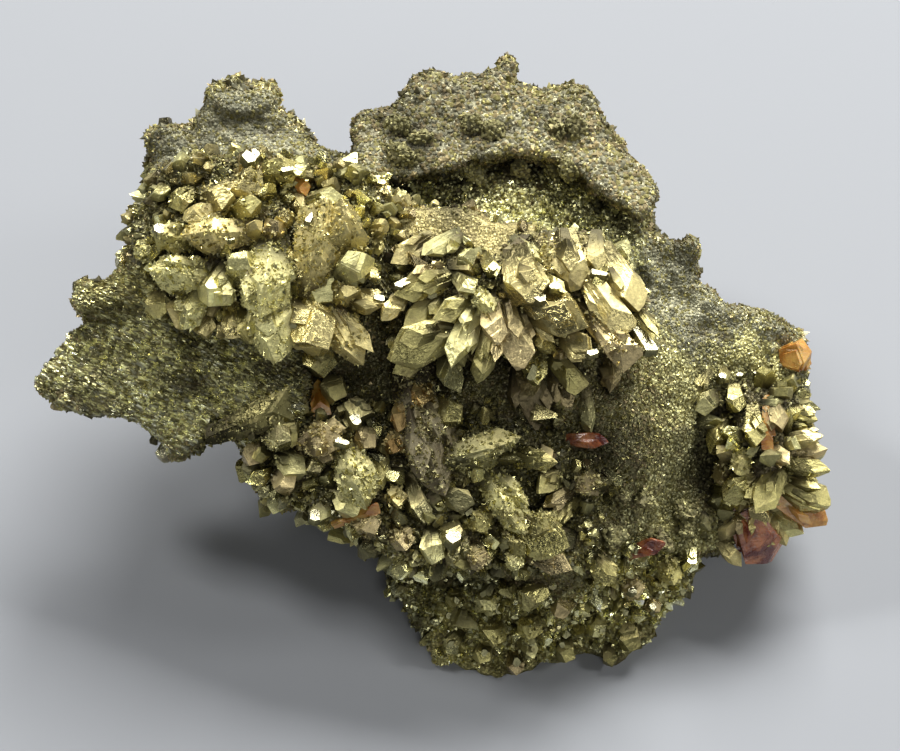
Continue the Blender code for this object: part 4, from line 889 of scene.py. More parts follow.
def fine_skin(mesh):
    """The skin that shows: finer, with small relief, cut flat at the base, in triangles."""
    fine = fused(mesh, FINE_VOXEL)
    push_out(fine, skin_relief)
    bm = bmesh.new()
    bm.from_mesh(fine)
    bpy.data.meshes.remove(fine)
    parts = bm.verts[:] + bm.edges[:] + bm.faces[:]
    cut = bmesh.ops.bisect_plane(bm, geom=parts, plane_co=(0, 0, BASE_HEIGHT), plane_no=DOWN,
                                 clear_outer=True)
    rim = [edge for edge in cut["geom_cut"] if isinstance(edge, bmesh.types.BMEdge)]
    bmesh.ops.contextual_create(bm, geom=rim)
    bmesh.ops.triangulate(bm, faces=bm.faces)
    return mesh_from(bm, "skin")


# ---------------------------------------------------------------- crystals

def habit_planes(habit, width, length, rng):
    """Planes (normal, distance) of a crystal that grows along +Z, in millimetres."""
    thickness, sides, tips = HABITS[habit]
    scale = Vector((width / 2, width * thickness / 2, length))
    planes = [(DOWN, ROOT_DEPTH * length + ROOT_EXTRA)]

    def add_plane(normal, point):
        """A plane through a point, given before the crystal is scaled."""
        stretched = Vector((normal.x / scale.x, normal.y / scale.y, normal.z / scale.z))
        planes.append((stretched.normalized(), normal.dot(point) / stretched.length))

    for direction, reach in sides:
        angle = math.radians(direction + rng.uniform(-FACE_JITTER, FACE_JITTER))
        reach *= rng.uniform(*REACH_CHANGE)
        out = round_z(angle)
        add_plane(out - Vector((0, 0, ROOT_TAPER * reach)), out * reach + Vector((0, 0, GIRDLE)))
    for direction, shoulder, reach in tips:
        angle = math.radians(direction + rng.uniform(-FACE_JITTER, FACE_JITTER))
        shoulder += rng.uniform(-SHOULDER_CHANGE, SHOULDER_CHANGE)
        out = round_z(angle)
        normal = out * (1 - shoulder) + Vector((0, 0, 1 - reach))
        add_plane(normal, out * reach + Vector((0, 0, 1)))
    return planes


TRIPLES = {}


def triples(count):
    """Every set of three planes out of so many."""
    if count not in TRIPLES:
        TRIPLES[count] = np.array(list(itertools.combinations(range(count), 3)))
    return TRIPLES[count]


def corners_of(normals, distances):
    """Corners where three planes meet inside all the others, and those planes."""
    sets = triples(len(normals))
    a, b, c = (normals[sets[:, k]] for k in range(3))
    bc, ca, ab = np.cross(b, c), np.cross(c, a), np.cross(a, b)
    volume = (a * bc).sum(1)
    volume[np.abs(volume) < NO_VOLUME] = 1e-30
    points = distances[sets[:, 0], None] * bc + distances[sets[:, 1], None] * ca
    points = (points + distances[sets[:, 2], None] * ab) / volume[:, None]
    inside = (points @ normals.T <= distances + TOUCHING).all(1) & (np.abs(volume) > NO_VOLUME)
    return points[inside], sets[inside]


def bevel_planes(normals, points, sets, bevel):
    """Planes that cut the edges between faces, apart from the root's."""
    ends = {}
    for corner, owners in enumerate(sets):
        for pair in itertools.combinations(owners, 2):
            ends.setdefault(pair, []).append(corner)
    planes = []
    for (one, other), shared in ends.items():
        normal = normals[one] + normals[other]
        size = np.linalg.norm(normal)
        if len(shared) < 2 or 0 in (one, other) or size < BEVEL_LEAST:
            continue
        normal = normal / size
        reach = normal @ points[shared[0]]
        planes.append((*normal, reach - bevel * (1.0 - size / BEVEL_FLAT)))
    return np.array(planes).reshape(-1, 4)


def polyhedron(planes, bevel=0.0):
    """Corners, faces and their normals of the solid inside the planes, its edges bevelled."""
    normals = np.array([tuple(normal) for normal, _ in planes])
    distances = np.array([distance for _, distance in planes])
    points, sets = corners_of(normals, distances)
    if bevel:
        extra = bevel_planes(normals, points, sets, bevel)
        normals = np.vstack((normals, extra[:, :3]))
        distances = np.concatenate((distances, extra[:, 3]))
        points, sets = corners_of(normals, distances)
    faces = []
    facing = []
    for plane, normal in enumerate(normals):
        own = np.nonzero((sets == plane).any(1))[0]
        if len(own) < 3:
            continue
        spots = points[own] - points[own].mean(0)
        first = spots[0] / max(np.linalg.norm(spots[0]), 1e-9)
        angles = np.arctan2(spots @ np.cross(normal, first), spots @ first)
        faces.append(own[np.argsort(angles)])
        facing.append(normal)
    return points, faces, np.array(facing)


def triangulated(solid):
    """Corners and triangles of a polyhedron."""
    points, faces, _ = solid
    triangles = [(face[0], face[k], face[k + 1]) for face in faces for k in range(1, len(face) - 1)]
    return points, np.array(triangles)


LAYERS = {"tone": ("FLOAT_COLOR", "CORNER", "color"), "local": ("FLOAT_VECTOR", "POINT", "vector")}


def add_layer(mesh, name, values):
    """Tones at the corners of the faces, or places in the crystal at the vertices."""
    kind, domain, field = LAYERS[name]
    layer = mesh.attributes.new(name, kind, domain)
    layer.data.foreach_set(field, values.astype(np.float32).ravel())


class Heap:
    """Faces gathered for one piece, with tones at their corners and places in the crystal."""

    def __init__(self):
        self.parts = []
        self.size = 0

    def add(self, points, local, loops, counts, tones):
        """Points, their places in the crystal, and faces by corners, corner counts and tones."""
        self.parts.append((points, local, loops + self.size, counts, tones))
        self.size += len(points)

    def joined(self):
        """Everything in the heap, as one part."""
        return [np.concatenate(column) for column in zip(*self.parts)]

    def add_heaps(self, heaps):
        """Everything of other heaps."""
        for heap in heaps:
            if heap.size:
                self.add(*heap.joined())

    def add_solid(self, solid, matrix, tones):
        """A polyhedron in its place, with a tone for each face."""
        points, faces, _ = solid
        counts = np.array([len(face) for face in faces])
        self.add(in_world(points, matrix), points, np.concatenate(faces), counts,
                 np.repeat(tones, counts, axis=0))

    def scatter(self, templates, places, frames, sizes, tones, rng, root=GRAIN_ROOT_PAINTED_SHADE):
        """Copies of the templates (corners, triangles) at places, with painted shade toward their
        roots and painted light at their tips.
        """
        kinds = rng.integers(len(templates), size=len(places))
        for kind, (corners, triangles) in enumerate(templates):
            chosen = np.nonzero(kinds == kind)[0]
            if not len(chosen):
                continue
            scaled = corners[None] * sizes[chosen][:, None, :]
            turned = np.einsum("nvk,nkj->nvj", scaled, frames[chosen])
            points = (turned + places[chosen][:, None]).reshape(-1, 3)
            aside = rng.uniform(-TEXTURE_SPREAD, TEXTURE_SPREAD, (len(chosen), 1, 3))
            local = scaled + aside * (1, 1, 0)
            starts = np.arange(len(chosen))[:, None, None] * len(corners)
            loops = (triangles[None] + starts).reshape(-1)
            counts = np.full(len(chosen) * len(triangles), 3)
            spread = np.repeat(tones[chosen], len(triangles), axis=0)
            change = rng.uniform(-FACET_CHANGE, FACET_CHANGE, (len(spread), 1))
            shine = np.clip(spread[:, 3:] + change * FACET_SHINE, 0, 1)
            change = 1 + change * (FACET_LIGHT + spread[:, 3:])
            spread = np.repeat(np.hstack((spread[:, :3] * change, shine)), 3, axis=0)
            # Painted shade at each grain's root, painted light at its tip.
            height = np.clip(0.5 + corners[triangles, 2], 0, 1).reshape(-1, 1)
            spread[:, :3] *= np.tile(root + (1 - root) * GRAIN_TIP_PAINTED_LIGHT * height, (len(chosen), 1))
            self.add(points, local.reshape(-1, 3), loops, counts, spread)

    def dress(self, name, mat, slot, *nodes):
        """The heap as a piece of the specimen."""
        points, local, loops, counts, tones = self.joined()
        mesh = bpy.data.meshes.new(name)
        mesh.vertices.add(len(points))
        mesh.loops.add(len(loops))
        mesh.polygons.add(len(counts))
        mesh.vertices.foreach_set("co", (points * MM).astype(np.float32).ravel())
        mesh.loops.foreach_set("vertex_index", loops.astype(np.int32))
        starts = np.concatenate(([0], np.cumsum(counts)[:-1]))
        mesh.polygons.foreach_set("loop_start", starts.astype(np.int32))
        add_layer(mesh, "tone", tones)
        add_layer(mesh, "local", local)
        mesh.update(calc_edges=True)
        mesh.validate()
        mesh.shade_flat()
        dress(name, mesh, mat, slot, *nodes)


def dress(name, mesh, mat, slot, *nodes):
    """A piece that rides on the specimen, with its material; its slot is not used."""
    mesh.materials.clear()
    mesh.materials.append(mat)
    obj = add_object(name, mesh)
    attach(obj, "root")
    if nodes:
        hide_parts(*nodes)


def surface_point(tree, u, v):
    """Where the line into the face at (u, v) meets the body, or the nearest place to it."""
    hit = tree.ray_cast(*line_into(u, v))[0]
    return tree.find_nearest(place(u, v, USUAL_DEPTH))[0] if hit is None else hit


def standing(root, axis, facing):
    """Matrix with +Z along the axis and +Y turned toward the facing direction."""
    across = facing.cross(axis)
    if across.length < NEARLY_PARALLEL:
        across = RIGHT - axis * axis.dot(RIGHT)
    across.normalize()
    toward = axis.cross(across)
    return Matrix.Translation(root) @ Matrix((across, toward, axis)).transposed().to_4x4()


def seat(tree, row):
    """Root, axis and length of a crystal given by its root and tip on the face."""
    u0, v0, u1, v1, rise = row[:5]
    root = surface_point(tree, u0, v0)
    axis = place(u1, v1, face_depth(root) + rise) - root
    return root, axis.normalized(), axis.length


def face_tones(solid, matrix, colour, polish, rng):
    """A tone for each face: tan where it looks up the face, painted lighter there and darker where
    it looks down, and how polished it is.
    """
    facing = solid[2] @ turn_of(matrix).T
    tones = np.empty((len(facing), 4))
    for index, lift in enumerate(facing @ UP_NP):
        share = TAN_SHARE * min(1.0, max(0.0, TAN_RISE[0] * lift + TAN_RISE[1]))
        base = np.array(colour) * (1 - share) + np.array(TAN) * share
        tones[index, :3] = base * rng.uniform(*FACE_LIGHT) * (1.0 + LIFT_PAINTED_LIGHT * lift)
        shine = polish + rng.uniform(*FACE_POLISH) - LIFT_DULL * max(0.0, lift)
        tones[index, 3] = min(1.0, max(0.0, shine))
    tones[solid[2][:, 2] < ROOT_FACES] *= ROOT_TONE
    return tones


def stepped(planes, width, rng):
    """The same crystal drawn in on some sides and raised on one, as a growth step."""
    raised = rng.randrange(1, len(planes))
    result = planes[:1]
    for index, (normal, distance) in enumerate(planes[1:], 1):
        if index == raised:
            result.append((normal, distance + rng.uniform(*STEP_RISE) * width))
        else:
            result.append((normal, distance - rng.choice(STEP_INSETS) * width))
    return result


def above_floor(planes, matrix):
    """The planes with one more, so that the crystal ends at the floor."""
    down = matrix.to_3x3().transposed() @ DOWN
    return planes + [(down, matrix.translation.z - FLOOR_GAP)]


def with_cuts(planes, width, rng):
    """The crystal with some of its edges or corners cut off by other faces."""
    points, _, _ = polyhedron(planes)
    result = list(planes)
    for _ in range(CUTS):
        angle = rng.uniform(0, 2 * math.pi)
        rise = rng.uniform(*CUT_RISE)
        flat = math.sqrt(1 - rise * rise)
        normal = Vector((flat * math.cos(angle), flat * math.sin(angle), rise))
        reach = (points @ np.array(normal)).max()
        result.append((normal, reach - rng.uniform(*CUT_DEPTH) * width))
    return result


def crystal_solids(planes, habit, width, length, matrix, rng, steps, sides):
    """A crystal with bevelled edges, its growth steps, and others grown along and on it."""
    bevel = BEVEL * width if width > BEVEL_FROM else 0.0
    solids = []

    def add(shape, own):
        """A solid of the crystal, if it has more than four faces."""
        if matrix.translation.z < 2 * length:
            shape = above_floor(shape, own)
        solid = polyhedron(shape, bevel)
        if len(solid[1]) > 4:
            solids.append((solid, own))

    def beside(outs, heights, tilts):
        """Matrix of a crystal beside this one."""
        out = rng.uniform(*outs) * width
        angle = rng.uniform(0, 2 * math.pi)
        height = rng.uniform(*heights) * length
        shift = Matrix.Translation((out * math.cos(angle), out * math.sin(angle), height))
        axis = Vector((-math.sin(angle), math.cos(angle), 0))
        return matrix @ shift @ Matrix.Rotation(rng.uniform(*tilts), 4, axis)

    planes = with_cuts(planes, width, rng)
    add(planes, matrix)
    for _ in range(steps):
        add(stepped(planes, width, rng), matrix)
    for _ in range(max(1, sides - 2)):
        share = rng.uniform(*PARALLEL_SIZE)
        add([(normal, distance * share) for normal, distance in planes], beside(*PARALLEL))
    for _ in range(sides):
        own = beside(*BESIDE)
        kind = habit
        if habit == "block" or rng.random() < OTHER_HABIT:
            kind = rng.choice(BESIDE_HABITS)
        its_width = rng.uniform(*BESIDE_SIZE) * width
        add(habit_planes(kind, its_width, rng.uniform(*BESIDE_SIZE) * length, rng), own)
    return solids


def detailed_crystal(heap, planes, habit, width, length, matrix, colour, polish, rng):
    """Adds all the solids of one crystal."""
    most = 2 + sum(width > limit for limit in DETAIL_WIDTHS)
    solids = crystal_solids(planes, habit, width, length, matrix, rng, most, most)
    for solid, own in solids:
        tone = np.array(colour) * rng.uniform(*SOLID_LIGHT)
        heap.add_solid(solid, own, face_tones(solid, own, tone, polish, rng))
    return solids


def seeded_lean(rng):
    """How a smaller crystal leans away from the surface's normal."""
    return Vector([rng.uniform(-most, most) for most in LEAN])


def mixed_colour(zone, rng):
    """One of the zone's metals."""
    kinds, weights = zip(*COLOUR_MIX[zone])
    return rng.choices(kinds, weights)[0]


def tinted(row, colour):
    """The colour that a crystal of the lists has by its tip, or the one given."""
    for tint, tips in TINTS:
        if row[2:4] in tips:
            colour = tint
    return np.array(colour)


def add_listed(heap, tree, row, seed, zone, detail):
    """One crystal of the lists above."""
    width, habit = row[5:]
    root, axis, length = seat(tree, row)
    planes = habit_planes(habit, width, length, random.Random(seed))
    rng = random.Random(seed + 0.5)
    polish = ROUND_POLISH if habit == "round" else rng.choice(POLISHES)
    colour = tinted(row, mixed_colour(zone, rng))
    # Painted shade: the crystal is darker in hollows and under the painted shadow patches.
    middle = np.array([root + axis * length * LIGHT_AT])
    dark, gain = CRYSTAL_LIGHT
    light = (dark + gain * open_share(tree, middle, np.array([axis]))) * painted_shade_factor(middle)
    colour = colour * light[0] * (LEFT_RIDGE_LIGHT if zone == "ridge left" else 1.0)
    solids = detailed_crystal(heap, planes, habit, width, length,
                              standing(root, axis, OUT_OF_FACE), colour, polish, rng)
    kind = "block"
    if habit == "round":
        kind = "round"
    elif rng.random() < ROUGH_SHARE.get(zone, 0.0):
        kind = "rough"
    detail.append((solids, kind, length, colour))


def is_taken(spot, taken, clear):
    """Whether a place lies too near to one that is taken; if not, it is taken now."""
    if min((spot - other).length for other in taken) < clear:
        return True
    taken.append(spot)
    return False


def add_field(heap, tree, field, taken, detail):
    """Smaller crystals on a jittered grid, away from what is taken."""
    seed, box, spacing, widths, stretch, heading = field
    rng = random.Random(seed)
    zone = seed if seed in COLOUR_MIX else "bottom"
    columns = int((box[2] - box[0]) / spacing)
    rows = int((box[3] - box[1]) / spacing)
    for index in range(columns * rows):
        u = box[0] + spacing * (index % columns + rng.uniform(*CELL))
        v = box[1] + spacing * (index // columns + rng.uniform(*CELL))
        width = rng.uniform(*widths)
        lean = seeded_lean(rng)
        habit = rng.choice(SMALL_HABITS)
        hit, normal, _, _ = tree.ray_cast(*line_into(u, v))
        if hit is None or face_depth(hit) < FIELD_DEEPEST:
            continue
        if is_taken(hit, taken, spacing * FIELD_CLEAR):
            continue
        axis = normal + RIGHT * heading[0] + UP_FACE * heading[1] + lean
        length = width * stretch
        planes = habit_planes(habit, width, length, rng)
        own = random.Random(index + len(seed) * 100)
        kind, colour, polish = "block", mixed_colour(zone, own), own.choice(SMALL_POLISHES)
        if seed in LUMPY_FIELDS:
            kind, colour, polish = "lump", DIM, LUMP_POLISH
        solids = detailed_crystal(heap, planes, "block", width, length,
                                  standing(hit, axis.normalized(), OUT_OF_FACE), colour, polish,
                                  own)
        detail.append((solids, kind, length, colour))


def add_back(heap, tree, taken):
    """Crystals spread over the back and the sides."""
    rng = random.Random("back")
    lowest, highest = BACK_HEIGHTS
    for index in range(BACK_CRYSTALS):
        turn = math.pi * (3 - math.sqrt(5)) * index
        height = lowest + (highest - lowest) * (index + 0.5) / BACK_CRYSTALS
        flat = math.sqrt(max(0.0, 1 - height * height))
        outward = Vector((flat * math.cos(turn), flat * math.sin(turn), height))
        width = rng.uniform(*BACK_WIDTHS)
        lean = seeded_lean(rng)
        habit = rng.choice(BACK_HABITS)
        if outward.dot(OUT_OF_FACE) > FACE_SIDE:
            continue
        hit, normal, _, _ = tree.ray_cast(Vector(BACK_MIDDLE) + outward * FAR, -outward)
        if hit is None or hit.z < LOWEST or is_taken(hit, taken, BACK_CLEAR):
            continue
        length = width * BACK_STRETCH
        planes = habit_planes(habit, width, length, rng)
        own = random.Random(index)
        matrix = standing(hit, (normal + lean).normalized(), UP)
        colour = mixed_colour("back", own)
        detailed_crystal(heap, planes, "block", width, length, matrix, colour, BACK_POLISH, own)


# ---------------------------------------------------------------- druse

def pointed_grain(sides, waist, foot, rng):
    """Pyramid on a ring of corners; with a foot it has a second point below."""
    ring = []
    for side in range(sides):
        angle = 2 * math.pi * side / sides + rng.uniform(-0.25, 0.25)
        reach = rng.uniform(0.42, 0.6)
        height = waist + rng.uniform(-0.1, 0.1)
        ring.append((reach * math.cos(angle), reach * math.sin(angle), height))
    tip = (rng.uniform(-0.12, 0.12), rng.uniform(-0.12, 0.12), 0.62)
    triangles = [(k, (k + 1) % sides, sides) for k in range(sides)]
    corners = ring + [tip]
    if foot:
        corners.append((0, 0, -0.5))
        triangles += [((k + 1) % sides, k, sides + 1) for k in range(sides)]
    else:
        triangles += [(0, k + 1, k) for k in range(1, sides - 1)]
    return np.array(corners), np.array(triangles)


def roof_grain(rng):
    """Elongated grain with a ridge between two slopes."""
    corners = [(-0.45, -0.5, -0.2), (0.45, -0.5, -0.2), (0.45, 0.5, -0.2), (-0.45, 0.5, -0.2)]
    low, high = rng.uniform(-0.3, -0.1), rng.uniform(0.25, 0.4)
    corners += [(rng.uniform(-0.1, 0.1), low, 0.35), (rng.uniform(-0.1, 0.1), high, 0.42)]
    triangles = [(0, 1, 4), (1, 2, 5), (1, 5, 4), (2, 3, 5), (3, 0, 4), (3, 4, 5),
                 (0, 3, 2), (0, 2, 1)]
    return np.array(corners), np.array(triangles)


def blunt_grain(rng):
    """Four-sided grain with a slanting top."""
    corners = []
    for reach, height in ((0.5, -0.2), (rng.uniform(0.25, 0.36), 0.42)):
        turn = rng.uniform(-0.3, 0.3)
        for side in range(4):
            angle = math.pi / 2 * side + turn
            corners.append((reach * math.cos(angle), reach * math.sin(angle), height))
    triangles = [(0, 2, 1), (0, 3, 2), (4, 5, 6), (4, 6, 7)]
    for k in range(4):
        j = (k + 1) % 4
        triangles += [(k, j, 4 + j), (k, 4 + j, 4 + k)]
    return np.array(corners), np.array(triangles)


def grain_templates():
    """Grains of about 1 mm, to be scaled, by kind: fine, round, sharp, aligned and coarse."""
    rng = random.Random(SEEDS["grains"])
    fine = [pointed_grain(sides, -0.1, False, rng) for sides in (3, 3, 4, 3, 4)]
    sharp = [pointed_grain(sides, 0.05, True, rng) for sides in (3, 4, 3, 4)]
    return {
        "fine": fine,
        "round": [pointed_grain(5, 0.2, False, rng) for _ in range(3)],
        "sharp": fine + sharp,
        "aligned": [roof_grain(rng) for _ in range(4)],
        "coarse": sharp + [blunt_grain(rng) for _ in range(3)],
    }


def crystal_templates():
    """Whole crystals 1 wide, with their steps and side crystals, to be copied."""
    rng = random.Random(SEEDS["templates"])
    templates = []
    far_up = Vector((0, 0, 100))      # where no crystal is cut off by the floor
    for habit in ("block", "wedge", "octa", "spear", "block", "prism", "chip", "point"):
        planes = habit_planes(habit, 1.0, TEMPLATE_LENGTH, rng)
        planes[0] = (DOWN, TEMPLATE_ROOT)
        points = []
        triangles = []
        size = 0
        for solid, own in crystal_solids(planes, habit, 1.0, TEMPLATE_LENGTH,
                                         Matrix.Translation(far_up), rng, 1, 1):
            corners, faces = triangulated(solid)
            points.append(in_world(corners, own) - np.array(far_up))
            triangles.append(faces + size)
            size += len(corners)
        templates.append((np.concatenate(points), np.concatenate(triangles)))
    return templates


def inside_outline(u, v, outline):
    """Which of the points (u, v) lie inside the polygon."""
    inside = np.zeros(len(u), bool)
    for (u0, v0), (u1, v1) in zip(outline, outline[1:] + outline[:1]):
        if v0 == v1:
            continue
        crosses = (v0 > v) != (v1 > v)
        inside ^= crosses & (u < (u1 - u0) * (v - v0) / (v1 - v0) + u0)
    return inside


def regions_of(points, normals):
    """Index into REGION_NAMES of each point of the skin."""
    u, v, w = face_coordinates(points)
    facing = normals @ OUT_NP
    region = np.full(len(points), BACK)
    region[(facing > 0.0) & (w > GAP_DEEPEST)] = GAP
    for name in reversed(REGION_ORDER):
        outline, anchor, slope, _ = LEDGES[name]
        near = np.abs(w - ledge_front(u, v, anchor, slope)) < LEDGE_NEAR
        near &= (facing > LEDGE_FACING) & inside_outline(u, v, outline)
        region[near] = REGION_NAMES.index(name)
    # The slope's upper part ends at a wavy line, and the crust's lower edge is wavy too.
    on_slope = region == SLOPE
    edge = 7 - 0.3 * (u - 24) + 1.5 * np.sin(1.1 * u + 0.8 * v) + 2.5 * np.sin(0.37 * u)
    region[on_slope & (v > edge)] = SLOPE_TOP
    round_cluster = (((u - CLUSTER_MIDDLE[0]) / CLUSTER_RADII[0]) ** 2
                     + ((v - CLUSTER_MIDDLE[1]) / CLUSTER_RADII[1]) ** 2)
    region[on_slope & (round_cluster < 1)] = CLUSTER
    left, right, low, high = CRUST_BOX
    crest = (v > low + 0.9 * np.sin(u * 0.9)) & (v < high) & (u > left) & (u < right)
    region[crest & (w > CRUST_DEEPEST) & (facing > 0.0)] = CRUST_BAND
    return region


def rows_of(items, field, kind):
    """Rows of three numbers read from a mesh."""
    values = np.empty(len(items) * 3, kind)
    items.foreach_get(field, values)
    return values.reshape(-1, 3)


def cross_sides(points, triangles):
    """Cross product of two sides of each triangle: its direction, at twice its area."""
    a, b, c = (points[triangles[:, k]] for k in range(3))
    return np.cross(b - a, c - a)


def skin_arrays(mesh):
    """Corner positions, corner normals, corner numbers and areas of the skin's triangles."""
    points = rows_of(mesh.vertices, "co", np.float32).astype(float)
    normals = rows_of(mesh.vertex_normals, "vector", np.float32).astype(float)
    corners = rows_of(mesh.polygons, "vertices", np.int32)
    return points, normals, corners, np.linalg.norm(cross_sides(points, corners), axis=1) / 2


def random_places(areas, wanted, rng):
    """Triangles chosen by their areas, and the weights of their corners for places in them."""
    chosen = rng.choice(len(areas), size=wanted, p=areas / areas.sum())
    r1 = np.sqrt(rng.random(wanted))[:, None]
    r2 = rng.random(wanted)[:, None]
    return chosen, np.hstack((1 - r1, r1 * (1 - r2), r1 * r2))


def skewed(low, high, count, power, rng):
    """Widths between two limits, most of them near the lower."""
    return low + (high - low) * rng.random(count) ** power


def spread_places(skin, mine, shade, spacing, lowest, crystals, rng):
    """Free places on the chosen triangles, about one to a cell, with normals and the painted shade
    of the skin there.
    """
    points, normals, corners, areas = skin
    corners, areas = corners[mine], areas[mine]
    chosen, weights = random_places(areas, int(areas.sum() / spacing ** 2 * TRIES), rng)
    chosen = corners[chosen]
    places = np.einsum("nk,nkj->nj", weights, points[chosen])
    outward = unit(np.einsum("nk,nkj->nj", weights, normals[chosen]))
    _, first = np.unique(np.floor(places / spacing).astype(np.int64) @ CELL_CODE,
                         return_index=True)
    first = first[outside_crystals(places[first], crystals) & (places[first, 2] > lowest)]
    return places[first], outward[first], shade[chosen[first]].mean(1)


def along_face(heading):
    """World direction of a heading (u, v)."""
    return heading[0] * RIGHT_NP + heading[1] * UP_NP


def grain_frames(axes, rng, twist=None):
    """Rows: two directions across and the axis, for each grain."""
    if twist is None:
        side = rng.normal(size=axes.shape)
    else:
        side = twist[None] + rng.normal(size=axes.shape) * TWIST
    across = unit(np.cross(side, axes))
    return np.stack((across, np.cross(axes, across), axes), axis=1)


def within(spots, solid, own, depth):
    """Which spots lie inside the solid by more than the depth."""
    points, _, normals = solid
    limits = (points @ normals.T).max(0) - depth
    return (in_solid(spots, own) @ normals.T < limits).all(1)


def outside_crystals(places, crystals):
    """Which places aren't buried in a large crystal."""
    free = np.ones(len(places), bool)
    for solids, _, length, _ in crystals:
        if not solids:
            continue
        middle = np.array(solids[0][1].translation)
        near = np.nonzero(np.linalg.norm(places - middle, axis=1) < length * NEAR_CRYSTAL)[0]
        for solid, own in solids:
            free[near[within(places[near], solid, own, BURIED)]] = False
    return free


def to_corners(values, corners, count):
    """Mean over the triangles round each corner."""
    every = corners.ravel()
    share = np.maximum(np.bincount(every, minlength=count), 1)
    sums = [np.bincount(every, np.repeat(column, 3), count) for column in values.T]
    return np.stack(sums, 1) / share[:, None]


def tree_of_all(skin, crystals):
    """Search tree of the skin and the large crystals."""
    spots = skin[0].tolist()
    faces = skin[2].tolist()
    for solids, *_ in crystals:
        for solid, own in solids:
            faces += [[int(corner) + len(spots) for corner in face] for face in solid[1]]
            spots += in_world(solid[0], own).tolist()
    return BVHTree.FromPolygons(spots, faces)


def open_share(tree, points, normals):
    """Share of the directions above each point in which nothing is near."""
    starts = (points + LOOK_START * normals).tolist()
    looks = (RIGHT, -RIGHT, UP_FACE, -UP_FACE, OUT_OF_FACE, -OUT_OF_FACE)
    free = np.zeros(len(points))
    for look in looks:
        rays = unit(normals + LOOK_LEAN * np.array(look)).tolist()
        free += [tree.ray_cast(start, ray, HOLLOW_REACH)[0] is None
                 for start, ray in zip(starts, rays)]
    return free / len(looks)


def painted_shade_factor(points):
    """What the painted shadow and painted light patches leave of the lightness at each point of the
    face.
    """
    u, v, w = face_coordinates(points)
    left_light = np.ones(len(points))
    for u0, v0, half_u, half_v, strength in PAINTED_SHADE_PATCHES:
        near = np.exp(-((u - u0) / half_u) ** 2 - ((v - v0) / half_v) ** 2)
        left_light *= 1 - strength * near * (w > PAINTED_SHADE_DEEPEST)
    return left_light


def shading(skin, tree):
    """How light each corner of the skin is: painted shade in the hollows and under the painted
    shadow patches, with lighter and darker patches at random.
    """
    points, normals, _, _ = skin
    patches = np.array([noise.noise(Vector(spot) / PATCH) for spot in points.tolist()])
    dark, gain = SKIN_LIGHT
    light = (dark + gain * open_share(tree, points, normals)) * (1 + PATCH_CHANGE * patches)
    return light * painted_shade_factor(points)


def grain_tones(metals, polish, lit, rng):
    """Colour and polish of each grain: the polished ones are lighter, and each carries the painted
    shade given in lit.
    """
    tones = np.array(metals)[rng.integers(len(metals), size=len(lit))]
    spread = SHINE_SPREAD[0] + SHINE_SPREAD[1] * polish
    shine = np.clip(polish + rng.uniform(-1, 1, (len(lit), 1)) * spread, 0, 1)
    return np.hstack((tones * (SHINE_LIGHT[0] + SHINE_LIGHT[1] * shine) * lit[:, None], shine))


def split_regions(skin):
    """Region of each triangle of the skin, with blurred borders."""
    points, normals, corners, _ = skin
    middles = points[corners].mean(1)
    middles += np.random.default_rng(SEEDS["regions"]).normal(size=middles.shape) * REGION_BLUR
    return regions_of(middles, unit(normals[corners].mean(1)))


def add_druse(heaps, skin, region, crystals, shade):
    """The skin's grains, region by region."""
    templates = grain_templates()
    for number, name in enumerate(REGION_NAMES):
        mine = region == number
        if not mine.any():
            continue
        kind, spacing, low, high, stretch, heading, follow, stray, polish, metals = DRUSE[name]
        rng = np.random.default_rng(SEEDS["druse"] + number)
        places, outward, lit = spread_places(skin, mine, shade, spacing, GRAIN_LOWEST, crystals,
                                             rng)
        lead = along_face(heading)
        if kind == "aligned":
            axes = unit(ALIGNED_RISE * outward + OUT_NP + rng.normal(size=places.shape) * stray)
            frames = grain_frames(axes, rng, lead)
        else:
            axes = unit(outward + follow * lead + rng.normal(size=places.shape) * stray)
            frames = grain_frames(axes, rng)
        widths = skewed(low, high, len(places), GRAIN_POWER, rng)
        flat = rng.uniform(*GRAIN_FLATNESS, len(places))
        long = widths * stretch * rng.uniform(*GRAIN_LENGTHS, len(places))
        sizes = [widths, widths * flat, long]
        if kind == "aligned":
            sizes = [widths, long, widths * flat]
        sizes = np.stack(sizes, 1) * np.clip(places[:, 2:] / FLOOR_NEAR, FLOOR_SHARE, 1.0)
        # The painted hollow shade is lifted here to a least lightness.
        if name in LEAST_PAINTED_LIGHT:
            lit = np.maximum(lit, LEAST_PAINTED_LIGHT[name] * painted_shade_factor(places))
        # Painted shade between the crystals of the ridges.
        if name in RIDGES:
            lit = lit * RIDGE_GRAIN_PAINTED_SHADE
        tones = grain_tones(metals, polish, lit, rng)
        # Painted shade at the grains' roots, lighter for dull grains.
        root = GRAIN_ROOT_PAINTED_SHADE if polish > DULL else DULL_GRAIN_ROOT_PAINTED_SHADE
        heaps[name].scatter(templates[kind], places, frames, sizes, tones, rng, root)


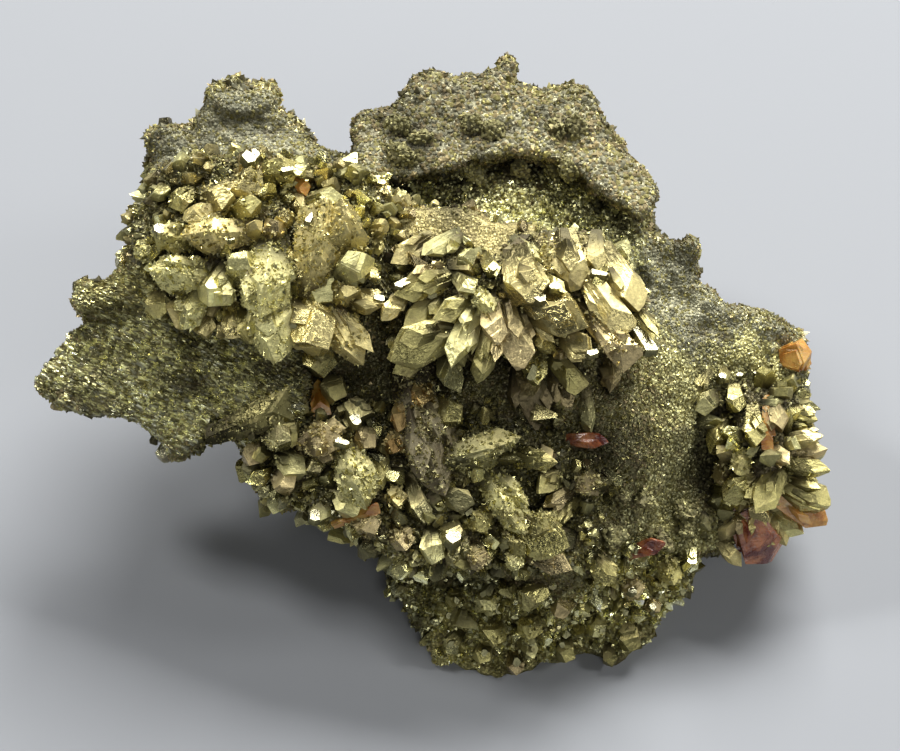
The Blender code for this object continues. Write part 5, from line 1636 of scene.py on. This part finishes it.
def add_medium(heap, skin, region, crystals, shade):
    """Small whole crystals that stand between the large ones."""
    templates = crystal_templates()
    for name, (spacing, low, high, polish, metals) in MEDIUM.items():
        number = REGION_NAMES.index(name)
        rng = np.random.default_rng(SEEDS["medium"] + number)
        places, outward, lit = spread_places(skin, region == number, shade, spacing,
                                             MEDIUM_LOWEST, crystals, rng)
        keep = lit > MEDIUM_DARKEST
        if name == "back":
            keep &= outward @ OUT_NP < MEDIUM_BACK
        places, outward, lit = places[keep], outward[keep], lit[keep]
        stray = rng.normal(size=places.shape) * MEDIUM_STRAY
        axes = unit(outward + MEDIUM_LEAD * along_face(DRUSE[name][5]) + stray)
        widths = skewed(low, high, len(places), MEDIUM_POWER, rng)
        sizes = widths[:, None] * rng.uniform(*MEDIUM_CHANGE, (len(places), 3))
        frames = grain_frames(axes, rng)
        heap.scatter(templates, places, frames, sizes, grain_tones(metals, polish, lit, rng), rng)


def add_coats(heap, crystals, body):
    """Fine grains on the crystals: all over the rough ones, in patches on the others."""
    templates = grain_templates()
    for number, (solids, kind, length, colour) in enumerate(crystals):
        rng = np.random.default_rng(SEEDS["coats"] + number)
        spacing, low, high, bare, barer, grain, mix_share, shine = COATS[kind]
        for solid, own in solids:
            points, triangles = triangulated(solid)
            points = in_world(points, own)
            cross = cross_sides(points, triangles)
            areas = np.linalg.norm(cross, axis=1) / 2
            chosen, weights = random_places(areas, int(areas.sum() / spacing ** 2), rng)
            spots = np.einsum("nk,nkj->nj", weights, points[triangles[chosen]])
            along = in_solid(spots, solids[0][1])[:, 2]
            keep = spots[:, 2] > COAT_LOWEST
            patch = np.array([noise.noise(Vector(spot) / COAT_PATCH) for spot in spots])
            keep &= (patch > bare + barer * along / max(length, 0.1)) | (along < 0)
            if kind == "block":
                upward = unit(cross)[chosen] @ UP_NP > UPWARD
                keep &= ~upward | (rng.random(len(spots)) < UPWARD_SHARE)
            for other, its_own in solids:
                if other is not solid:
                    keep &= ~within(spots, other, its_own, 0.0)
            for index in np.nonzero(keep & (along < 0))[0]:
                hit, normal, _, _ = body.find_nearest(Vector(spots[index]))
                keep[index] = (Vector(spots[index]) - hit).dot(normal) > OPEN_SKIN
            spots = spots[keep]
            if not len(spots):
                continue
            axes = unit(unit(cross)[chosen][keep] + rng.normal(size=spots.shape) * COAT_STRAY)
            widths = skewed(low, high, len(spots), COAT_POWER, rng)
            sizes = np.stack((widths, widths, widths * COAT_LENGTH), 1)
            mix = COAT_METALS[rng.integers(3, size=len(spots))]
            shines = rng.uniform(0.0, shine, (len(spots), 1))
            # The crystal's colour brings its painted shade into its grains.
            tones = np.hstack((COAT_COLOUR * np.array(colour) + mix_share * mix, shines))
            heap.scatter(templates[grain], spots, grain_frames(axes, rng), sizes, tones, rng)


def add_mirrors(heap, whole):
    """Small bright faces where the photograph shows them, on whatever lies there."""
    rng = random.Random(SEEDS["mirrors"])
    for u, v, width, length, heading in MIRRORS:
        hit, normal, _, _ = whole.ray_cast(*line_into(u, v))
        start = hit + (normal + TO_KEY) * LAMP_START
        blocked = [whole.ray_cast(start, TO_KEY + edge)[0] is not None for edge in LAMP_EDGES]
        shaded = sum(blocked) > MOST_BLOCKED
        glint = ((TO_FRONT if shaded else TO_KEY) + OUT_OF_FACE).normalized()
        angle = math.radians(heading)
        own = standing(hit + glint * MIRROR_RISE, glint,
                       RIGHT * math.cos(angle) + UP_FACE * math.sin(angle))
        planes = [(UP, MIRROR_THICKNESS), (DOWN, 0.5 * width + MIRROR_ROOT)]
        for side in range(MIRROR_SIDES):
            turn = rng.uniform(-MIRROR_TURN, MIRROR_TURN)
            angle = math.radians(360 / MIRROR_SIDES * side + turn)
            reach = math.hypot(width * math.cos(angle), length * math.sin(angle)) / 2
            normal = round_z(angle, MIRROR_TAPER).normalized()
            planes.append((normal, reach * rng.uniform(*MIRROR_REACH)))
        solid = polyhedron(planes, MIRROR_BEVEL)
        tones = np.tile((*BRASS, 0.5), (len(solid[1]), 1))
        tones[solid[2][:, 2] > 0.99] = FRONT_TONE if shaded else KEY_TONE
        heap.add_solid(solid, own, tones)


# ---------------------------------------------------------------- materials

class Nodes:
    """Short ways to make and join the nodes of one material."""

    def __init__(self, name):
        self.material = bpy.data.materials.new(name)
        self.material.use_nodes = True
        self.tree = self.material.node_tree

    def put(self, node, socket, source):
        """Links an input of a node, or gives it a value."""
        if isinstance(source, bpy.types.NodeSocket):
            self.tree.links.new(source, node.inputs[socket])
        else:
            node.inputs[socket].default_value = source

    def make(self, kind, links=(), **values):
        """A node with its settings and its inputs."""
        node = self.tree.nodes.new("ShaderNode" + kind)
        for key, value in values.items():
            setattr(node, key, value)
        for socket, source in links:
            self.put(node, socket, source)
        return node

    def scaled(self, vector, scale):
        """The vector, each part of it times its own scale."""
        return self.make("VectorMath", ((0, vector), (1, scale)), operation="MULTIPLY").outputs[0]

    def millimetres(self):
        """The place on the specimen, in millimetres."""
        return self.scaled(self.make("TexCoord").outputs["Object"], (1000, 1000, 1000))

    def noise(self, vector, scale, detail=2.0, rough=0.5):
        """Cloudy noise from 0 to 1."""
        links = (("Vector", vector), ("Scale", scale), ("Detail", detail), ("Roughness", rough))
        return self.make("TexNoise", links).outputs["Fac"]

    def ramp(self, value, low, high, start=0.0, end=1.0):
        """The value between two limits, spread from start to end."""
        links = (("Value", value), ("From Min", low), ("From Max", high), ("To Min", start),
                 ("To Max", end))
        return self.make("MapRange", links).outputs[0]

    def times(self, one, other):
        """Product of two values."""
        return self.make("Math", ((0, one), (1, other)), operation="MULTIPLY").outputs[0]

    def plus(self, one, other):
        """Sum of two values."""
        return self.make("Math", ((0, one), (1, other)), operation="ADD").outputs[0]

    def mix(self, share, one, other):
        """Mix of two colours."""
        return self.make("Mix", ((0, share), (6, one), (7, other)), data_type="RGBA").outputs[2]

    def bump(self, height, strength):
        """Normals of a fine relief."""
        links = (("Height", height), ("Strength", strength), ("Distance", BUMP))
        return self.make("Bump", links).outputs[0]

    def finished(self, *links):
        """The material, with these inputs of its shader."""
        for socket, source in links:
            self.put(self.tree.nodes["Principled BSDF"], socket, source)
        return self.material


def metal(name, striae, swell, granules, grime, rough, most=0.95):
    """Brassy metal: tone and polish from the faces, growth lines, granules and tarnish by nodes."""
    nodes = Nodes(name)
    tone = nodes.make("Attribute", attribute_name="tone")
    polish = tone.outputs["Alpha"]
    spot = nodes.millimetres()
    # Clouds and specks make it lighter or darker, duller or brighter, and give a fine relief.
    cloud = nodes.noise(spot, 0.9, 3.0, 0.6)
    speck = nodes.noise(spot, 6.0, 2.0, 0.6)
    shade = nodes.times(nodes.ramp(cloud, 0.3, 0.7, 0.8, 1.2),
                        nodes.ramp(speck, 0.3, 0.7, 0.8, 1.15))
    dull = nodes.plus(nodes.ramp(polish, 0.0, 1.0, rough, 0.10),
                      nodes.ramp(speck, 0.35, 0.75, -0.04, 0.14))
    height = nodes.plus(nodes.times(nodes.noise(spot, 9.0, 2.0, 0.7), 0.25),
                        nodes.times(nodes.noise(spot, 1.2), swell))
    # Granules are rounded cells, each with its own lightness and dullness.
    if granules:
        cells = nodes.make("TexVoronoi", (("Vector", spot), ("Scale", 2.3))).outputs
        height = nodes.plus(height, nodes.times(cells["Distance"], -granules))
        shade = nodes.times(shade, nodes.ramp(cells["Color"], 0, 1, 0.65, 1.3))
        dull = nodes.plus(dull, nodes.ramp(cells["Color"], 0, 1, 0.1, -0.25))
    # Growth lines run along a crystal or across it; its root is painted darker, as shade where it
    # meets the mass.
    if striae:
        local = nodes.make("Attribute", attribute_name="local").outputs["Vector"]
        lines = nodes.noise(nodes.scaled(local, (3.0, 3.0, 0.25)), 1.0, 2.0, 0.6)
        across = nodes.noise(nodes.scaled(local, (0.3, 0.3, 2.6)), 1.0, 2.0, 0.6)
        pick = nodes.ramp(nodes.noise(nodes.scaled(local, (0.5, 0.5, 0.5)), 1.0), 0.52, 0.6)
        both = nodes.make("Mix", ((0, pick), (2, lines), (3, across)), data_type="FLOAT")
        height = nodes.plus(height, nodes.times(both.outputs[0], striae))
        along = nodes.make("SeparateXYZ", ((0, local),)).outputs["Z"]
        shade = nodes.times(shade, nodes.ramp(along, -0.6, 2.4, 0.22, 1.08))
    # Tarnish is brown and dull, and comes in clouds.
    links = ((0, tone.outputs["Color"]), ("Scale", shade))
    lit = nodes.make("VectorMath", links, operation="SCALE").outputs[0]
    tarnish = nodes.ramp(nodes.noise(spot, 0.35, 3.0, 0.65), 0.52, 0.72, 0.0, grime)
    return nodes.finished(("Base Color", nodes.mix(tarnish, lit, TARNISH)),
                          ("Metallic", nodes.ramp(polish, 0, 0.35, 0.45, most)),
                          ("Normal", nodes.bump(height, 1.0)),
                          ("Roughness", nodes.plus(dull, nodes.times(tarnish, 0.35))))


def resin(name):
    """Sphalerite: resinous orange or red, with pale cleavage clouds and fine steps."""
    deep, pale, roughness = RESINS[name]
    nodes = Nodes(name)
    spot = nodes.millimetres()
    cloud = nodes.ramp(nodes.noise(spot, 0.4, 4.0, 0.6), 0.40, 0.60)
    rough = nodes.ramp(nodes.noise(spot, 3.0), 0.3, 0.7, roughness, roughness + 0.15)
    steps = nodes.noise(nodes.scaled(spot, (1.0, 3.5, 7.0)), 1.0, 2.0)
    return nodes.finished(("Base Color", nodes.mix(cloud, deep, pale)), ("Roughness", rough),
                          ("IOR", 1.6), ("Subsurface Weight", 0.25),
                          ("Subsurface Radius", (0.9, 0.25, 0.06)),
                          ("Subsurface Scale", 0.0012), ("Normal", nodes.bump(steps, 0.6)))


# ---------------------------------------------------------------- pieces

def add_large_crystals(tree, mat, crystals, taken):
    """The large crystals, one piece for each group; notes their solids and places."""
    for group_number, (zone, group) in enumerate(CRYSTAL_GROUPS):
        heap = Heap()
        seed = SEEDS["group"] * group_number
        for row_number, row in enumerate(group):
            add_listed(heap, tree, row, seed + row_number, zone, crystals)
            root, axis, length = seat(tree, row)
            taken.extend((root, root + axis * length))
        heap.dress("crystals_" + zone.replace(" ", "_"), mat, "chalcopyrite")


def add_skin(mesh, skin, region, shade, mat):
    """The mass between the crystals, toned by region and darkened by painted shade."""
    points, _, corners, _ = skin
    tones = np.array([(*BODY_TONES[name][0], BODY_TONES[name][1]) for name in REGION_NAMES])
    values = tones[region]
    for _ in range(SOFT_ROUNDS):
        soft = to_corners(values, corners, len(points))
        values = soft[corners].mean(1)
    # The painted shade of the hollows and patches goes into the skin's tones.
    soft[:, :3] *= shade[:, None]
    mesh.transform(Matrix.Scale(MM, 4))
    add_layer(mesh, "tone", soft[corners])
    add_layer(mesh, "local", points)
    mesh.shade_smooth()
    dress("mass", mesh, mat, "chalcopyrite", "chalcopyrite_mass")


def add_sphalerites(tree):
    """The orange and red crystals, each in place of its solid."""
    resins = {name: resin(name) for name in RESINS}
    for number, (name, row) in enumerate(SPHALERITES.items()):
        width, habit = row[5:]
        root, axis, length = seat(tree, row)
        planes = habit_planes(habit, width, length, random.Random(SEEDS["sphalerite"] + number))
        heap = Heap()
        detailed_crystal(heap, planes, habit, width, length, standing(root, axis, OUT_OF_FACE),
                         (1, 1, 1), RESIN_POLISH, random.Random(number))
        slot = "sphalerite_red" if name in RED_NODES else "sphalerite_orange"
        heap.dress(name + "_crystal", resins[slot], slot, name)


def build_specimen():
    """Every piece of the specimen: large crystals, small ones, druse, skin and sphalerite."""
    rough = fused_body()
    push_out(rough, body_relief)
    skin_mesh = fine_skin(rough.copy())
    bm = bmesh.new()
    bm.from_mesh(simplified(fused(rough, VOXEL), BODY_FACES))
    tree = BVHTree.FromBMesh(bm)
    bm.free()
    of_crystals = metal("chalcopyrite_crystals", striae=0.9, swell=1.6, granules=0.0, grime=0.35,
                        rough=0.58, most=0.88)
    of_druse = metal("chalcopyrite_druse", striae=0.0, swell=0.3, granules=0.0, grime=0.3,
                     rough=0.72)
    of_body = metal("chalcopyrite_mass", striae=0.0, swell=0.6, granules=3.0, grime=0.4,
                    rough=0.62)

    crystals = []
    taken = []
    add_large_crystals(tree, of_crystals, crystals, taken)
    small = Heap()
    for number, row in enumerate(TINY_CRYSTALS):
        add_listed(small, tree, row, SEEDS["tiny"] + number, "ridge left", crystals)
    for field in FIELDS:
        add_field(small, tree, field, taken, crystals)
    add_back(small, tree, taken)
    skin = skin_arrays(skin_mesh)
    whole = tree_of_all(skin, crystals)
    add_mirrors(small, whole)
    small.dress("crystals_small", of_crystals, "chalcopyrite")

    shade = shading(skin, whole)
    region = split_regions(skin)
    heaps = {name: Heap() for name in REGION_NAMES}
    add_druse(heaps, skin, region, crystals, shade)
    for name, members in DRUSE_PIECES:
        heap = Heap()
        heap.add_heaps([heaps[member] for member in members])
        heap.dress(name, of_druse, "chalcopyrite")
    medium = Heap()
    add_medium(medium, skin, region, crystals, shade)
    medium.dress("crystals_between", of_crystals, "chalcopyrite")
    coats = Heap()
    add_coats(coats, crystals, tree)
    coats.dress("druse_on_crystals", of_druse, "chalcopyrite")
    add_skin(skin_mesh, skin, region, shade, of_body)
    add_sphalerites(tree)


# ---------------------------------------------------------------- floor, lights and camera

def soft_box(name, direction, size, power):
    """Rectangular lamp that looks at the specimen."""
    light = bpy.data.lights.new(name, "AREA")
    light.shape = "RECTANGLE"
    light.size, light.size_y = size
    light.energy = power
    obj = add_object(name, light)
    away = Vector(direction).normalized()
    obj.location = away * LAMP_DISTANCE + LAMP_AIM
    obj.rotation_euler = away.to_track_quat("Z", "Y").to_euler()


def set_stage():
    """Pale floor, dim world, lamps, and the camera square to the specimen's face."""
    bm = bmesh.new()
    bmesh.ops.create_grid(bm, x_segments=1, y_segments=1, size=FLOOR_HALF)
    floor = add_object("floor", mesh_from(bm, "floor"))
    floor.data.materials.append(Nodes("floor").finished(
        ("Base Color", FLOOR_COLOUR), ("Roughness", 0.8), ("Specular IOR Level", 0.2)))

    world = bpy.data.worlds.new("studio")
    bpy.context.scene.world = world
    world.use_nodes = True
    world.node_tree.nodes["Background"].inputs["Color"].default_value = WORLD_COLOUR
    bpy.context.scene.view_settings.view_transform = "Standard"
    for lamp in LAMPS:
        soft_box(*lamp)

    camera = bpy.data.cameras.new("camera")
    camera.lens = 96
    camera.sensor_width = 36
    camera.clip_start = 0.01
    obj = add_object("camera", camera)
    spot = (FACE_ORIGIN + OUT_OF_FACE * CAMERA_DISTANCE) * MM
    axes = Matrix((RIGHT, UP_FACE, OUT_OF_FACE)).transposed().to_4x4()
    obj.matrix_world = Matrix.Translation(spot) @ axes
    bpy.context.scene.camera = obj


build_specimen()
set_stage()
